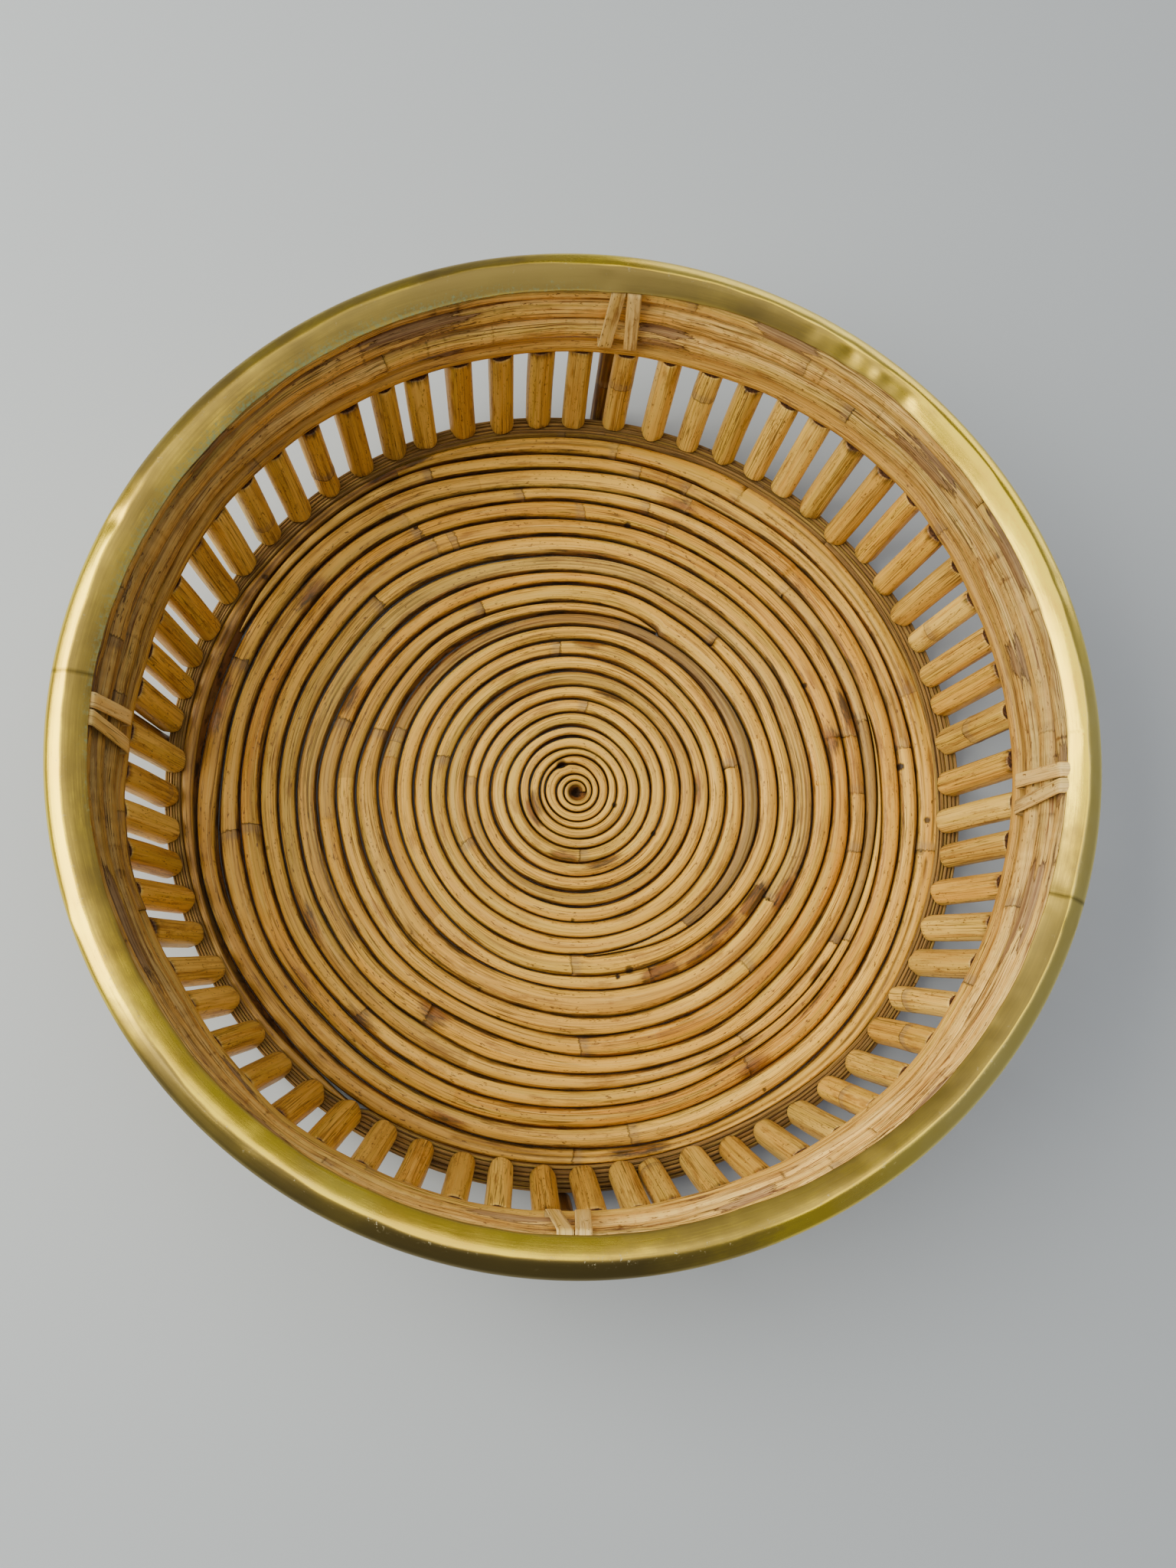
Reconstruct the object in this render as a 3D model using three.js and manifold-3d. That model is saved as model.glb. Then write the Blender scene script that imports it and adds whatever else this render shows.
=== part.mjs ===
// A round rattan basket with a brass-capped rim. Millimetres, +Z up.
// The origin is on the table, under the middle of the basket.
import * as THREE from 'three';
import { mergeVertices } from 'three/addons/utils/BufferGeometryUtils.js';
import Module from 'manifold-3d';

const wasm = await Module();
wasm.setup();

// Overall sizes
const rimRadius = 180;
const basketHeight = 100;
const ringSegments = 64;
// The rim isn't quite round: it is pulled out along this direction and in across it
const rimPull = 0.9;
const rimPullAngle = 31;

// Gaps that keep neighbours apart
const seatGap = 0.35;
const coilClearance = 0.6;

// Brass cap: a channel of sheet brass folded to a low ridge over the rim
const brassThickness = 0.8;
const crestInset = 6.8;
const capWidth = 13.6;
const capInnerDrop = 4;
const capOuterDrop = 2.4;
const capShoulder = 0.9;
const capSkirt = 14.5;

// Rim canes: three peeled canes stacked under the cap
const rimCaneNames = ['rim_cane_lower', 'rim_cane_middle', 'rim_cane_top'];
const rimCaneWidth = 11.1;
const rimCaneBevel = 2.2;

// Inner pole: the thin cane under the stack, on the spindles' heads
const poleUnderside = 55.5;
const poleHeight = 6.5;
const poleWidth = 6.5;
const poleProud = 0.9;
const poleSides = 8;

// Cane ties: a flat strip wound twice round the stack
const tieThickness = 0.8;
const tieWidth = 5.6;
const tieHeadSpread = 2.6;
const tieFootSpread = 5.2;
const tieStations = [
  { side: 'right', angle: -5.7 },
  { side: 'back', angle: 85 },
  { side: 'left', angle: 179.8 },
  { side: 'front', angle: 268 },
];

// Spindles: short canes leaning out a little from the base hoop to the rim
const spindleCount = 65;
const peggedCount = 19;
const spindleDiameter = 10.5;
const caneSides = 12;
const spindleFootShift = 2.1;
const spindleHeadShift = 0.45;
const spindlePeg = 1;
const firstSpindleAngle = 5.9;
// The maker set the spindles by eye, so their angles drift round the hoop
const driftOnce = 1.28;
const driftOncePhase = -18;
const driftTwice = -1.01;
const driftThrice = 0.72;
const driftThricePhase = 53;

// Outer posts: dark canes behind the gaps by three of the ties
const postDiameter = 6.6;
const postFootHeight = 0.5;
const postStations = [
  { side: 'back', gapAfter: 14 },
  { side: 'left', gapAfter: 30 },
  { side: 'front', gapAfter: 47 },
];

// Base hoop: thin strips on edge, the ring that the basket stands on
const hoopInnerRadius = 156.2;
const hoopWidth = 8.4;
const hoopHeight = 8;
const hoopChamfer = 0.6;

// Floor coil: one cane wound outward from the middle, thin at first
const coilLoops = 24;
const coilStepsPerLoop = 24;
const coilSides = 6;
const coilStartRadius = 5;
const coilThinPitch = 2.2;
const coilThickeningLoops = 12;
const coilGap = 0.9;
const coilHeight = 6.8;
const coilFootHeight = 0.7;
const coilTipWidth = 1.6;
const coilMiddle = { x: 1.5, y: -6 };
const coilEndAngle = 45;

const cane = {
  pale: new THREE.MeshStandardMaterial({ color: 0xcfa562, roughness: 0.55, metalness: 0 }),
  honey: new THREE.MeshStandardMaterial({ color: 0xb98a45, roughness: 0.55, metalness: 0 }),
  dark: new THREE.MeshStandardMaterial({ color: 0x6b4a2b, roughness: 0.7, metalness: 0 }),
  strip: new THREE.MeshStandardMaterial({ color: 0xd6b777, roughness: 0.6, metalness: 0 }),
};
const brass = new THREE.MeshStandardMaterial({ color: 0xb09a4e, roughness: 0.3, metalness: 1 });

const basket = new THREE.Group();

function addPiece(parent, name, geometry, material) {
  const mesh = new THREE.Mesh(geometry, material.clone());
  mesh.name = name;
  parent.add(mesh);
  return mesh;
}

// A closed profile of [radius, height] points, turned about the basket's axis
function ring(profile) {
  const points = profile.map(([radius, height]) => new THREE.Vector2(radius, height));
  points.push(points[0].clone());
  const geometry = new THREE.LatheGeometry(points, ringSegments);
  geometry.rotateX(Math.PI / 2);
  return geometry;
}

// How far the rim is pulled out or in at an angle in radians
function pullAt(angle) {
  return rimPull * Math.cos(2 * (angle - THREE.MathUtils.degToRad(rimPullAngle)));
}

// Pulls a piece of the rim out of round
function pullRim(geometry) {
  const place = geometry.attributes.position;
  for (let index = 0; index < place.count; index += 1) {
    const x = place.getX(index);
    const y = place.getY(index);
    const stretch = 1 + pullAt(Math.atan2(y, x)) / Math.hypot(x, y);
    place.setXY(index, x * stretch, y * stretch);
  }
  return geometry;
}

function toManifold(geometry) {
  const bare = geometry.clone();
  bare.deleteAttribute('normal');
  bare.deleteAttribute('uv');
  const merged = mergeVertices(bare);
  const vertProperties = new Float32Array(merged.attributes.position.array);
  const triVerts = new Uint32Array(merged.index.array);
  return new wasm.Manifold(new wasm.Mesh({ numProp: 3, vertProperties, triVerts }));
}

function fromManifold(solid) {
  const { vertProperties, triVerts } = solid.getMesh();
  const geometry = new THREE.BufferGeometry();
  geometry.setAttribute('position', new THREE.BufferAttribute(new Float32Array(vertProperties), 3));
  geometry.setIndex(new THREE.BufferAttribute(new Uint32Array(triVerts), 1));
  return geometry;
}

// An upright cane sheared outward, so that both its ends lie level
function leaningCane(diameter, foot, head) {
  const height = head.z - foot.z;
  const geometry = new THREE.CylinderGeometry(diameter / 2, diameter / 2, height, caneSides);
  geometry.rotateX(Math.PI / 2);
  geometry.translate(0, 0, height / 2);
  const lean = (head.radius - foot.radius) / height;
  geometry.applyMatrix4(new THREE.Matrix4().makeShear(0, 0, 0, 0, lean, 0));
  geometry.translate(foot.radius, 0, foot.z);
  return geometry;
}

// The roof that the brass cap, the ties and the top cane share, at a depth below the brass
const crestRadius = rimRadius - crestInset;
const lipRadius = rimRadius - capWidth;
const innerSlope = capInnerDrop / (crestRadius - lipRadius);
const outerSlope = capOuterDrop / (crestInset - capShoulder);

function roof(radius, depth) {
  const slope = radius < crestRadius ? innerSlope : outerSlope;
  return basketHeight - depth - slope * Math.abs(radius - crestRadius);
}

// The points over the top of a layer, from its inner wall to its outer wall
function roofLine(innerWall, outerWall, shoulder, depth) {
  const shoulderRadius = outerWall - shoulder;
  return [
    [innerWall, roof(innerWall, depth)],
    [crestRadius, roof(crestRadius, depth)],
    [shoulderRadius, roof(shoulderRadius, depth)],
    [outerWall, roof(shoulderRadius, depth) - shoulder],
  ];
}

// Layers of the rim, from the brass inward
const capInnerWall = rimRadius - brassThickness;
const tieDepth = brassThickness + seatGap;
const tieOuterWall = capInnerWall - seatGap;
const caneDepth = tieDepth + tieThickness + seatGap;
const caneOuterWall = tieOuterWall - tieThickness - seatGap;
const caneInnerWall = caneOuterWall - rimCaneWidth;
const tieInnerWall = caneInnerWall - seatGap - tieThickness;
const tieFoot = poleUnderside + poleHeight + seatGap;
const stackFoot = tieFoot + tieThickness + seatGap;
const stackHead = basketHeight - caneDepth;
const rimCaneHeight = (stackHead - stackFoot + seatGap) / rimCaneNames.length - seatGap;

// The pole stands a little inside the canes over it, and the spindles stand under its middle
const poleMiddle = { radius: caneInnerWall - poleProud + poleWidth / 2, z: poleUnderside + poleHeight / 2 };
const hoopOuterRadius = hoopInnerRadius + hoopWidth;
const spindleFoot = {
  radius: (hoopInnerRadius + hoopOuterRadius) / 2 + spindleFootShift,
  z: hoopHeight + seatGap,
};
const spindleHead = { radius: poleMiddle.radius + spindleHeadShift, z: poleUnderside - seatGap };

// The posts lean between the hoop and the pole's outer side
const postFoot = { radius: hoopOuterRadius + seatGap + postDiameter / 2, z: postFootHeight };
const postHead = { radius: leanedPostRadius(), z: tieFoot - seatGap };

function leanedPostRadius() {
  const touchRadius = poleMiddle.radius + poleWidth / 2 + seatGap + postDiameter / 2;
  const touchHeight = poleMiddle.z - (poleHeight / 2) * Math.tan(Math.PI / poleSides);
  const lean = (touchRadius - postFoot.radius) / (touchHeight - postFoot.z);
  return postFoot.radius + lean * (tieFoot - seatGap - postFoot.z);
}

function buildBrassRim() {
  const skirtHeight = basketHeight - capSkirt;
  const outside = roofLine(lipRadius, rimRadius, capShoulder, 0);
  const inside = roofLine(lipRadius, capInnerWall, capShoulder / 2, brassThickness);
  const profile = [...outside, [rimRadius, skirtHeight], [capInnerWall, skirtHeight], ...inside.reverse()];
  addPiece(basket, 'brass_rim', pullRim(ring(profile.reverse())), brass);
}

function buildRimCanes() {
  rimCaneNames.forEach((name, index) => {
    const foot = stackFoot + index * (rimCaneHeight + seatGap);
    const head = foot + rimCaneHeight;
    const underside = [
      [caneOuterWall, foot + rimCaneBevel],
      [caneOuterWall - rimCaneBevel, foot],
      [caneInnerWall + rimCaneBevel, foot],
      [caneInnerWall, foot + rimCaneBevel],
    ];
    const isTop = index === rimCaneNames.length - 1;
    const topside = isTop
      ? roofLine(caneInnerWall, caneOuterWall, rimCaneBevel, caneDepth)
      : [
        [caneInnerWall, head - rimCaneBevel],
        [caneInnerWall + rimCaneBevel, head],
        [caneOuterWall - rimCaneBevel, head],
        [caneOuterWall, head - rimCaneBevel],
      ];
    const profile = [...underside, ...topside];
    addPiece(basket, name, pullRim(ring(profile.reverse())), cane.pale);
  });
}

function buildInnerPole() {
  const reach = 1 / Math.cos(Math.PI / poleSides);
  const profile = [];
  for (let side = 0; side < poleSides; side += 1) {
    const turn = ((side + 0.5) / poleSides) * 2 * Math.PI;
    profile.push([
      poleMiddle.radius + (poleWidth / 2) * reach * Math.cos(turn),
      poleMiddle.z + (poleHeight / 2) * reach * Math.sin(turn),
    ]);
  }
  addPiece(basket, 'rim_inner_pole', pullRim(ring(profile)), cane.honey);
}

// The outline of a tie's strip, or of the space inside it, at a depth below the brass
function tieOutline(innerWall, outerWall, foot, depth) {
  const corners = [[innerWall, foot], [outerWall, foot]];
  const top = roofLine(innerWall, outerWall, capShoulder, depth).reverse();
  return [...corners, ...top].map(([radius, height]) => new THREE.Vector2(radius, height));
}

// One turn of the tie's strip: a frame round the stack, leaning sideways like one leg of an A
function tieBand(sign) {
  const outline = new THREE.Shape(tieOutline(tieInnerWall, tieOuterWall, tieFoot, tieDepth));
  outline.holes.push(new THREE.Path(tieOutline(
    tieInnerWall + tieThickness,
    tieOuterWall - tieThickness,
    tieFoot + tieThickness,
    tieDepth + tieThickness,
  )));
  const geometry = new THREE.ExtrudeGeometry(outline, { depth: tieWidth, bevelEnabled: false });
  const place = geometry.attributes.position;
  for (let index = 0; index < place.count; index += 1) {
    const radius = place.getX(index);
    const height = place.getY(index);
    const down = (roof(crestRadius, tieDepth) - height) / (roof(crestRadius, tieDepth) - tieFoot);
    const spread = tieHeadSpread + (tieFootSpread - tieHeadSpread) * down;
    const sideways = tieWidth / 2 - place.getZ(index) + sign * spread;
    const turn = sideways / caneInnerWall;
    place.setXYZ(index, radius * Math.cos(turn), radius * Math.sin(turn), height);
  }
  return geometry;
}

function buildTies() {
  const bothTurns = toManifold(tieBand(1)).add(toManifold(tieBand(-1)));
  tieStations.forEach(({ side, angle }) => {
    const geometry = fromManifold(bothTurns);
    geometry.rotateZ(THREE.MathUtils.degToRad(angle));
    addPiece(basket, `cane_tie_${side}`, pullRim(geometry), cane.strip);
  });
}

// Angle of a spindle in radians: an even step plus the maker's drift
function spindleAngle(index) {
  const even = (index / spindleCount) * 2 * Math.PI;
  const drift = driftOnce * Math.sin(even + THREE.MathUtils.degToRad(driftOncePhase))
    + driftTwice * Math.sin(2 * even)
    + driftThrice * Math.sin(3 * even + THREE.MathUtils.degToRad(driftThricePhase));
  return even + THREE.MathUtils.degToRad(firstSpindleAngle + drift);
}

// With more spindles than pieces to give, some of them are part of the base hoop
function isPegged(index) {
  return (index * peggedCount) % spindleCount < peggedCount;
}

// A cane that leans from its foot to its head, which follows the rim, at an angle in radians
function caneAt(angle, diameter, foot, head) {
  const pulledHead = { radius: head.radius + pullAt(angle), z: head.z };
  return leaningCane(diameter, foot, pulledHead).rotateZ(angle);
}

function buildSpindles() {
  const row = new THREE.Group();
  basket.add(row);
  for (let index = 0; index < spindleCount; index += 1) {
    if (isPegged(index)) continue;
    const number = String(index + 1).padStart(2, '0');
    const geometry = caneAt(spindleAngle(index), spindleDiameter, spindleFoot, spindleHead);
    addPiece(row, `spindle_${number}`, geometry, cane.pale);
  }
}

function buildBaseHoop() {
  const hoop = ring([
    [hoopInnerRadius, 0],
    [hoopOuterRadius, 0],
    [hoopOuterRadius, hoopHeight - hoopChamfer],
    [hoopOuterRadius - hoopChamfer, hoopHeight],
    [hoopInnerRadius + hoopChamfer, hoopHeight],
    [hoopInnerRadius, hoopHeight - hoopChamfer],
  ]);
  const lean = (spindleHead.radius - spindleFoot.radius) / (spindleHead.z - spindleFoot.z);
  const foot = {
    radius: spindleFoot.radius - lean * (spindlePeg + seatGap),
    z: spindleFoot.z - spindlePeg - seatGap,
  };
  let solid = toManifold(hoop);
  for (let index = 0; index < spindleCount; index += 1) {
    if (!isPegged(index)) continue;
    const spindle = caneAt(spindleAngle(index), spindleDiameter, foot, spindleHead);
    solid = solid.add(toManifold(spindle));
  }
  addPiece(basket, 'base_hoop', fromManifold(solid), cane.dark);
}

function buildOuterPosts() {
  postStations.forEach(({ side, gapAfter }) => {
    const angle = (spindleAngle(gapAfter) + spindleAngle(gapAfter + 1)) / 2;
    const geometry = caneAt(angle, postDiameter, postFoot, postHead);
    addPiece(basket, `outer_post_${side}`, geometry, cane.dark);
  });
}

// Floor coil: the pitch grows evenly over the first loops and then stays. The last loop keeps
// to the hoop and narrows to a tip.
const coilOuterRadius = hoopInnerRadius - coilClearance;
const coilFullLoops = coilLoops - 1;
const coilThickPitch = solveThickPitch();
const coilTaperLoops = 1 - (coilGap + coilTipWidth) / coilThickPitch;

function solveThickPitch() {
  const growth = coilFullLoops - coilThickeningLoops / 2;
  // Half of the last full loop, (thick pitch - gap) / 2, lies between its middle and the edge
  const thinReach = coilStartRadius + coilThinPitch * (coilFullLoops + 1 / 2);
  const room = coilOuterRadius + coilGap / 2 - thinReach;
  return coilThinPitch + room / (growth + 1 / 2);
}

function coilPitch(loops) {
  const grown = Math.min(1, loops / coilThickeningLoops);
  return coilThinPitch + (coilThickPitch - coilThinPitch) * grown;
}

function coilRadius(loops) {
  const rising = Math.min(loops, coilThickeningLoops);
  const risen = (rising * rising) / (2 * coilThickeningLoops) + (loops - rising);
  return coilStartRadius + coilThinPitch * loops + (coilThickPitch - coilThinPitch) * risen;
}

function coilSection(step) {
  const loops = step / coilStepsPerLoop;
  const turn = 2 * Math.PI * (loops - coilLoops) + THREE.MathUtils.degToRad(coilEndAngle);
  const halfPitch = (coilPitch(loops) - coilGap) / 2;
  const innerEdge = coilRadius(loops) - halfPitch;
  const outerEdge = Math.min(coilRadius(loops) + halfPitch, coilOuterRadius);
  const radius = (innerEdge + outerEdge) / 2;
  const halfWidth = (outerEdge - innerEdge) / 2;
  const halfHeight = coilHeight / 2;
  const towardMiddle = Math.max(0, 1 - loops / coilFullLoops);
  const flatHeight = Math.cos(Math.PI / coilSides);
  const points = [];
  for (let side = 0; side < coilSides; side += 1) {
    const around = (side / coilSides) * 2 * Math.PI;
    const out = radius + halfWidth * Math.cos(around);
    const rise = (halfHeight * Math.sin(around)) / flatHeight;
    points.push(new THREE.Vector3(
      coilMiddle.x * towardMiddle + out * Math.cos(turn),
      coilMiddle.y * towardMiddle + out * Math.sin(turn),
      coilFootHeight + halfHeight + rise,
    ));
  }
  return points;
}

// Least distance between the points of sections that lie half a loop or more apart
function leastCoilGap(sections) {
  let least = Infinity;
  for (let first = 0; first < sections.length; first += 1) {
    for (let second = first + coilStepsPerLoop / 2; second < sections.length; second += 1) {
      for (const from of sections[first]) {
        for (const to of sections[second]) {
          least = Math.min(least, from.distanceTo(to));
        }
      }
    }
  }
  return least;
}

function buildFloorCoil() {
  const sections = [];
  const lastStep = Math.floor((coilFullLoops + coilTaperLoops) * coilStepsPerLoop);
  for (let step = 0; step <= lastStep; step += 1) {
    sections.push(coilSection(step));
  }
  const position = sections.flat().flatMap((point) => point.toArray());
  const faces = [];
  for (let step = 0; step < sections.length - 1; step += 1) {
    for (let side = 0; side < coilSides; side += 1) {
      const here = step * coilSides;
      const next = here + coilSides;
      const other = (side + 1) % coilSides;
      faces.push(here + side, next + other, here + other);
      faces.push(here + side, next + side, next + other);
    }
  }
  const last = (sections.length - 1) * coilSides;
  for (let side = 1; side < coilSides - 1; side += 1) {
    faces.push(0, side, side + 1);
    faces.push(last, last + side + 1, last + side);
  }
  const geometry = new THREE.BufferGeometry();
  geometry.setAttribute('position', new THREE.Float32BufferAttribute(position, 3));
  geometry.setIndex(faces);
  console.log(`floor coil: least gap to itself ${leastCoilGap(sections).toFixed(2)} mm`);
  addPiece(basket, 'floor_coil', geometry, cane.pale);
}

buildBrassRim();
buildRimCanes();
buildInnerPole();
buildTies();
buildSpindles();
buildOuterPosts();
buildBaseHoop();
buildFloorCoil();

export default basket;
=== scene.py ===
"""A round rattan basket: coiled floor, spindles, cane rim and brass cap, over its solids."""
import bisect
import math
import random

import bmesh
import bpy
from mathutils import Matrix, Vector, noise


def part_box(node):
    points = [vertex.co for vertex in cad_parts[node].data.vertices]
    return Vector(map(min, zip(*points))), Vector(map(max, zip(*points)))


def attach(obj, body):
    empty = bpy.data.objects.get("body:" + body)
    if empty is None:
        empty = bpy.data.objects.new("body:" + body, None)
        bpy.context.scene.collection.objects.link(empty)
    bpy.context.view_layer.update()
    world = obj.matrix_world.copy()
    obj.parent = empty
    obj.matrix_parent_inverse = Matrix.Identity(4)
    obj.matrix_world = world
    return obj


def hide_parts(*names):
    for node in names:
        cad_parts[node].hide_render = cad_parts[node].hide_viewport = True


bl_info = {
    "name": "Rattan Basket",
    "version": (1, 0, 0),
    "blender": (4, 5, 0),
    "location": "View3D > Sidebar > Basket",
    "description": "Dresses the solids of a round rattan basket in cane and brass",
    "category": "Add Mesh",
}

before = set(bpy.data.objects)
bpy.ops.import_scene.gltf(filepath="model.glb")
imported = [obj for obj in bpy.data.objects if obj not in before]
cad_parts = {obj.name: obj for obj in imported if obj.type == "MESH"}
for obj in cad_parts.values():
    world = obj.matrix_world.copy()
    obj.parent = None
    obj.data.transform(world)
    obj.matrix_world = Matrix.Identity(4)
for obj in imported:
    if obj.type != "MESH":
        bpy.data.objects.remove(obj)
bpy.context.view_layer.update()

MM = 0.001
TAU = math.tau

# Angles of the spindles round the basket, in degrees from the right. The feet were picked one by
# one in the photograph, but for numbers 33 and 49, which stand halfway between their neighbours
SPINDLE_ANGLES = (
    6.3, 12, 16.9, 22.5, 27.4, 33, 38.6, 43.8, 49.5, 55.1, 60.2, 65.8, 71.7, 77.6, 83.8, 90.2,
    95.7, 101.5, 107.6, 113.7, 118.7, 124.4, 130.3, 136.2, 141.8, 147.7, 152.5, 158.7, 163.4,
    168.1, 173.1, 178.9, 184, 189, 193.8, 198.9, 204, 209.6, 214.3, 220.1, 225.7, 231.6, 237.2,
    242.9, 248.6, 254.5, 259.9, 265.9, 271.4, 276.9, 280.9, 287.1, 292.7, 298.1, 303.7, 309.2,
    314.6, 320.3, 325.9, 332, 337.4, 343, 348.7, 353.9, 359.6,
)

# Radius in mm of the cracks that wind out between the floor coil's canes, one row a turn:
# the angle wound at the first value, the angle between values, then the values. The points were
# picked in the unwrapped photograph and brought to even steps by a scratch program, and the rows
# of the main crack from 2520 to 4320 were traced by one
MAIN_CRACK = (
    (0, 45, (2, 2.2, 2.4, 2.7, 3, 3.3, 3.5, 3.7)),
    (360, 45, (3.9, 4.2, 4.6, 5, 5.4, 5.7, 5.9, 6.1)),
    (720, 45, (6.3, 6.8, 7.2, 7.8, 8.4, 8.8, 9, 9.1)),
    (1080, 45, (9.2, 9.7, 11.3, 12.8, 13.2, 13, 13.1, 13.2)),
    (1440, 45, (13.2, 14.3, 15, 15, 15.2, 15.6, 16.2, 16.7)),
    (1800, 45, (16.8, 17.1, 18, 19, 19.5, 20, 20.5, 21.2)),
    (2160, 45, (21.4, 21.3, 22.8, 23.1, 23.4, 24, 24.7, 25.6)),
    (2520, 45, (26.2, 25.8, 27.3, 27.7, 29.2, 30.3, 30.9, 31.2)),
    (2880, 45, (31.2, 31.2, 32.9, 33.4, 35.4, 36.2, 36.9, 37.1)),
    (3240, 45, (37.3, 37.2, 38.6, 39.2, 40.8, 42.5, 43.3, 43.8)),
    (3600, 45, (43.8, 43.5, 44.1, 44.5, 45.9, 47.5, 49.7, 50.1)),
    (3960, 45, (50.1, 49.3, 50.6, 50.8, 53.4, 54.6, 56.3, 56.4)),
    (4320, 45, (56, 55, 56.9, 57.9, 59.7, 61, 62.9, 63.7)),
    (4680, 15, (63.5, 62.7, 62.3, 62.2, 63.1, 64, 63.7, 63.7, 63.9, 64.3, 65.1, 65.9, 66.7, 67,
                67.6, 68.4, 69.2, 69.9, 70, 70, 70.2, 71.2, 71.9, 71.7)),
    (5040, 15, (70.6, 69.7, 69.5, 69.7, 69.8, 70, 69.8, 70, 70.5, 71.2, 72, 72.7, 73.5, 74, 74.2,
                75, 76.5, 78.2, 78.7, 80, 81.5, 83, 85, 86.5)),
    (5400, 15, (86, 85, 84.8, 84.8, 85.5, 87.5, 88, 88.5, 89.5, 91.2, 92.8, 94.5, 97.5, 98, 99,
                100.2, 100.4, 101.5, 103.5, 104.5, 106.2, 107, 108.3, 109.5)),
    (5760, 15, (109.7, 108.5, 108, 107.2, 107, 108.2, 109.2, 110.8, 113.5, 116, 116.8, 119, 120.6,
                121.5, 123.2, 123.5, 124.3, 125, 125.5, 126.2, 127.2, 128.6, 129, 129.1)),
    (6120, 15, (129.1, 130, 130, 129.8, 130, 130, 130.3, 132.5, 137, 139.8, 140.8, 141.8, 143,
                146.2, 147, 146.6, 147.3, 147.9, 148.5, 150, 150, 150.3, 149.6, 148.1)),
    (6480, 15, (147, 146.3, 145.7, 144.7, 144, 145, 145.8, 148, 152, 152.6, 152.8)),
    (6640, 5, (152.5, 152.7, 153, 153.1, 153.3, 153.6, 154, 154.6, 155.2, 155.6, 155.7, 155.6,
               155.4, 155, 154.8, 155, 155.3, 155.7, 155.7)),
)
SECOND_CRACK = (
    (4953.8, 0, (70.8,)),
    (4965, 15, (71.2, 73.8, 75.8, 77.4, 78.3)),
    (5040, 15, (77.5, 77, 76, 75.2, 75, 75.2, 75.2, 75.5, 76.2, 77.4, 78.1, 79.3, 81, 80.7, 80.8,
                82, 82.6, 83.2, 84.5, 86.5, 89.3, 90.8, 91.3, 93.5)),
    (5400, 15, (93, 91.5, 91.7, 90.8, 90.8, 92.5, 93, 94.2, 96.5, 98.5, 99.8, 102.2, 105.2, 105.7,
                106.5, 107.8, 106.8, 108.2, 111.5, 113.8, 115.7, 115.5, 116.5, 118)),
    (5760, 15, (117, 116.8, 116.3, 115.5, 115.5, 116.2, 116.5, 119, 122.5, 124.7, 125.2, 127,
                127.8, 128.3, 130.2, 130.5, 131.5, 132.5, 132.5, 133, 132.2, 132.9, 132.8, 132.2)),
    (6120, 15, (130.6, 130.6)),
)
THIRD_CRACK = (
    (5102.5, 0, (76.8,)),
    (5115, 15, (79, 79.7, 80.5, 82, 84, 85, 87, 89.8, 90.2, 90.8, 92.8, 93.2, 93.8, 95.4, 97.3,
                98.2, 99.2, 100, 101.6)),
    (5400, 15, (101, 99.7, 99.5, 98.5, 98.5, 99.8, 100.5, 101.8, 105, 107.7, 108.5, 110.9, 113.3,
                114, 115.2, 116, 116, 118, 119, 120.7, 122.8, 123.5, 124.5, 125)),
    (5760, 15, (124.2, 124, 124, 123, 122.8, 123.6, 124.8, 126.4, 129.8, 132, 132.5, 134.6, 135.6,
                137, 139, 138.7, 139.8, 140.5, 140.5, 140.8, 140.5, 141.8, 141.1, 140.5)),
    (6120, 15, (139.3, 139.5, 139.5, 138.8, 137.5, 139, 139.2, 141.2, 145.8, 148, 149.2, 150.5,
                152.1, 154.3)),
    (6325, 5, (154.5, 154.4, 154.1, 153.8, 154.1, 154.8, 155.1, 155.3)),
    (6365, 10, (155.3, 155.2, 155, 155, 155, 155, 156, 157.7, 158, 157.8, 157.3, 156.6, 156.4,
                156, 155.1, 155, 155.2, 155, 154.6, 153.7, 154, 154.5, 155.1, 156, 156.8, 157.4,
                157.8)),
    (6633, 15, (159.3, 159.3, 159.3, 158.9, 159.1, 158.9)),
)

# Where a crack gapes: the angle wound, half its length in degrees, and the extra gap in mm
MAIN_GAPS = ((1200, 14, 1.5), (2270, 40, 0.5), (2615, 45, 0.7), (3090, 55, 0.6), (3510, 90, 0.6),
             (3900, 60, 0.6), (4932, 25, 0.5), (6315, 18, 1.6), (6435, 35, 0.7))
SECOND_GAPS = ((5178, 50, 2.2), (5560, 50, 0.6))
THIRD_GAPS = ((5330, 30, 0.7), (5520, 40, 0.5), (6288, 16, 1.2))

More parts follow.
